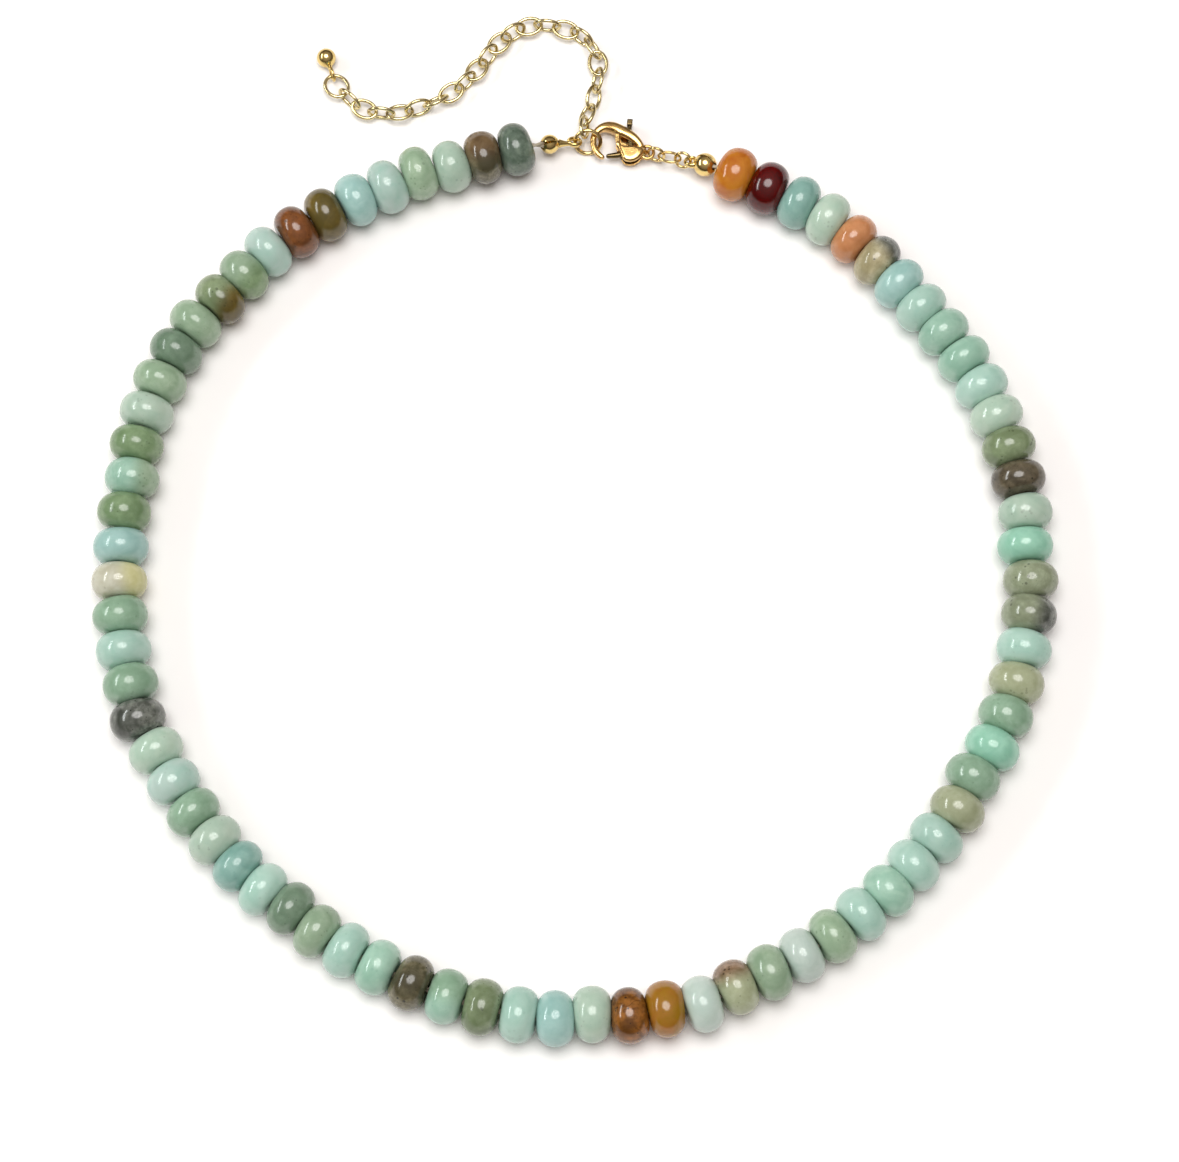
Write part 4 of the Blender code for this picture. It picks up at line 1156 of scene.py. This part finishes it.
# The two bead tips: clamshell cups pressed from gold-plated brass sheet, two half shells closed over the
# thread's knot, on a tongue that curls round into a loop. The left one hangs in the jump ring, the right
# one in the last of the three rings.
TIP_LEFT_ROLL = math.radians(-35.0)
TIP_LEFT_SLIT = np.array([0.0, 1.0, 0.05])
TIP_RIGHT_ROLL = math.radians(-30.0)
TIP_RIGHT_SLIT = np.array([0.3, -0.8, 0.6])
TIP_WALL = 0.22 * MM
TIP_SLIT = 0.35 * MM
CUP_POLE = math.radians(89.0)
CUP_OUTER_STEPS = 18
CUP_INNER_STEPS = 14
CUP_SIDES = 40
LIP_BULGE = 0.4
LIP_DEGREES = (15, 165)
LIP_STEPS = 5
# The thread's hole, from one share of the cup's radius to another, and the radius of its poles.
BORE_RADIUS = 0.6 * MM
BORE_SHARES = (0.1, 1.3)
BORE_POLE = 0.01 * MM
LOOP_START = -math.pi + 0.42
LOOP_END = math.pi - 0.10
LOOP_STEPS = 46
LOOP_STRIDE = 3
TONGUE_STEPS = 80
TONGUE_ROOT_SHARE = 0.9
TONGUE_ROOT_THICKNESS_SHARE = 0.7
TONGUE_ROOT_HALF_WIDTH = 0.80 * MM
TONGUE_TAPER = 1.8 * MM
TONGUE_HALF_WIDTH = 0.36 * MM
TONGUE_HALF_THICKNESS = 0.24 * MM


def half_cup(centre, normal, radius):
    """Half a hollow ball, its open side towards the slit: the outer sphere from the pole down to the rim,
    a rounded lip, and the inner sphere back up to the pole. At the angle a above the slit's middle a
    sphere's points are radius * sin(a) high and radius * cos(a) out."""
    lip = TIP_SLIT / 2
    low_outer = math.asin(lip / radius)
    low_inner = math.asin(lip / (radius - TIP_WALL))
    outer = np.linspace(CUP_POLE, low_outer, CUP_OUTER_STEPS)
    inner = np.linspace(low_inner, CUP_POLE, CUP_INNER_STEPS)
    bend = np.radians(np.linspace(*LIP_DEGREES, LIP_STEPS))
    middle = radius - TIP_WALL / 2
    profile = [
        *zip(radius * np.sin(outer), radius * np.cos(outer)),
        *zip(lip - TIP_WALL / 2 * np.sin(bend) * LIP_BULGE, middle + TIP_WALL / 2 * np.cos(bend)),
        *zip((radius - TIP_WALL) * np.sin(inner), (radius - TIP_WALL) * np.cos(inner)),
    ]
    return turned(centre, normal, profile, CUP_SIDES)


def bead_tip(name, cad_node, centre, face, loop_middle, loop_across, radius, slit_up):
    """One bead tip: the two half cups, drilled for the thread, and the tongue that leaves them away from
    the bead and goes round the loop's circle. What its root has over the loop in width and thickness goes
    down by (1 - length / TONGUE_TAPER) ** 2."""
    towards = unit(face - centre)
    outwards = unit(loop_middle - centre)
    normal = unit(slit_up - np.dot(slit_up, towards) * towards)
    turn = np.linspace(LOOP_START, LOOP_END, LOOP_STEPS)[:, None]
    loop = loop_middle + LOOP_RADIUS * (np.cos(turn) * outwards + np.sin(turn) * loop_across)
    root = centre + outwards * radius * TONGUE_ROOT_SHARE
    path = evenly(np.vstack([root, (root + loop[0]) / 2, loop[::LOOP_STRIDE]]), TONGUE_STEPS)
    ends = rounded_ends(reach_of(path), TONGUE_HALF_THICKNESS)
    root_share = np.clip(1 - reach_of(path) / TONGUE_TAPER, 0, 1) ** 2
    wide = (TONGUE_HALF_WIDTH + (TONGUE_ROOT_HALF_WIDTH - TONGUE_HALF_WIDTH) * root_share) * ends
    root_extra = (TONGUE_ROOT_HALF_WIDTH - TONGUE_HALF_THICKNESS) * TONGUE_ROOT_THICKNESS_SHARE
    thick = (TONGUE_HALF_THICKNESS + root_extra * root_share) * ends
    tongue = swept(path, np.cross(outwards, loop_across), wide, thick, sides=16)
    cups = [half_cup(centre, normal, radius), half_cup(centre, -normal, radius)]
    low, high = BORE_SHARES[0] * radius, BORE_SHARES[1] * radius
    bore_profile = [(low, BORE_POLE), (low, BORE_RADIUS), (high, BORE_RADIUS), (high, BORE_POLE)]
    bore = turned(centre, towards, bore_profile)
    drilled = changed(skin_of("cups", cups), boolean("DIFFERENCE", "bore", [bore]))
    both = bmesh.new()
    both.from_mesh(drilled)
    both.from_mesh(skin_of("tongue", [tongue]))
    both.to_mesh(drilled)
    both.free()
    piece = lay_piece(name, drilled, tip_gold, "tip_gold", cad_node)
    piece.data.set_sharp_from_angle(angle=SHARP_EDGE)


jump_left = jump_middle - X_AXIS * (JUMP_RADIUS + LOOP_RADIUS - (JUMP_WIRE + RING_WIRE) / 2 - GAP)
bead_tip(
    "tip_left",
    "bead_tip_left",
    centre=tip_left,
    face=face_left,
    loop_middle=jump_left,
    loop_across=rolled(unit(jump_left - tip_left), TIP_LEFT_ROLL),
    radius=TIP_LEFT_RADIUS,
    slit_up=TIP_LEFT_SLIT,
)
bead_tip(
    "tip_right",
    "bead_tip_right",
    centre=tip_right,
    face=face_right,
    loop_middle=right_loop,
    loop_across=rolled(ring_line, TIP_RIGHT_ROLL),
    radius=TIP_RIGHT_RADIUS,
    slit_up=TIP_RIGHT_SLIT,
)


# The table and the light. The necklace lies on smooth white paper under a bright ceiling, with a narrow
# window on its left and a dim, warm room round it that the metal reflects.
FLOOR_HALF = 0.8
ROOM_STRENGTH = 1.18
floor_mesh = bpy.data.meshes.new("table")
floor_corners = [(i * FLOOR_HALF, j * FLOOR_HALF, 0.0) for i, j in ((-1, -1), (1, -1), (1, 1), (-1, 1))]
floor_mesh.from_pydata(floor_corners, [], [(0, 1, 2, 3)])
table = bpy.data.objects.new("table", floor_mesh)
bpy.context.scene.collection.objects.link(table)
paper = bpy.data.materials.new("white_paper")
paper.use_nodes = True
paper_shader = paper.node_tree.nodes["Principled BSDF"]
paper_shader.inputs["Base Color"].default_value = (0.985, 0.975, 0.97, 1.0)
paper_shader.inputs["Roughness"].default_value = 0.75
floor_mesh.materials.append(paper)


def soft_box(name, shape, direction, long_side, distance, width, length, power, colour):
    """An area light that faces the necklace's middle from this direction, its length along the long side
    given."""
    lamp = bpy.data.lights.new(name, "AREA")
    lamp.shape = shape
    lamp.size = width
    lamp.size_y = length
    lamp.energy = power
    lamp.color = colour
    back = unit(np.array(direction, float))
    upper = unit(np.array(long_side, float) - np.dot(long_side, back) * back)
    right = np.cross(upper, back)
    box = bpy.data.objects.new(name, lamp)
    turn = Matrix((right, upper, back)).transposed()
    box.matrix_world = Matrix.Translation(tuple(back * distance)) @ turn.to_4x4()
    bpy.context.scene.collection.objects.link(box)


soft_box(
    "window",
    "RECTANGLE",
    direction=(-0.79, 0.14, 0.60),
    long_side=(0.30, 0.95, 0.0),
    distance=1.7,
    width=0.19,
    length=1.35,
    power=10.4,
    colour=(0.95, 1.0, 1.0),
)
soft_box(
    "ceiling",
    "ELLIPSE",
    direction=(0.0, 0.06, 1.0),
    long_side=(0.15, 1.0, 0.0),
    distance=1.5,
    width=1.10,
    length=0.95,
    power=18.0,
    colour=(1.0, 0.982, 0.968),
)

world = bpy.data.worlds.new("room")
world.use_nodes = True
bpy.context.scene.world = world
sky = world.node_tree
direction = node(sky, "ShaderNodeTexCoord").outputs["Generated"]
height = node(sky, "ShaderNodeSeparateXYZ", Vector=direction).outputs["Z"]
# The room is darkest near the table and lightest overhead.
raised = spread(sky, height, 0.25, 0.85)
room_tone = blended(sky, raised, (0.08, 0.062, 0.055, 1.0), (0.34, 0.305, 0.29, 1.0))
background = sky.nodes["Background"]
sky.links.new(room_tone, background.inputs["Color"])
background.inputs["Strength"].default_value = ROOM_STRENGTH

bpy.context.scene.view_settings.view_transform = "Standard"
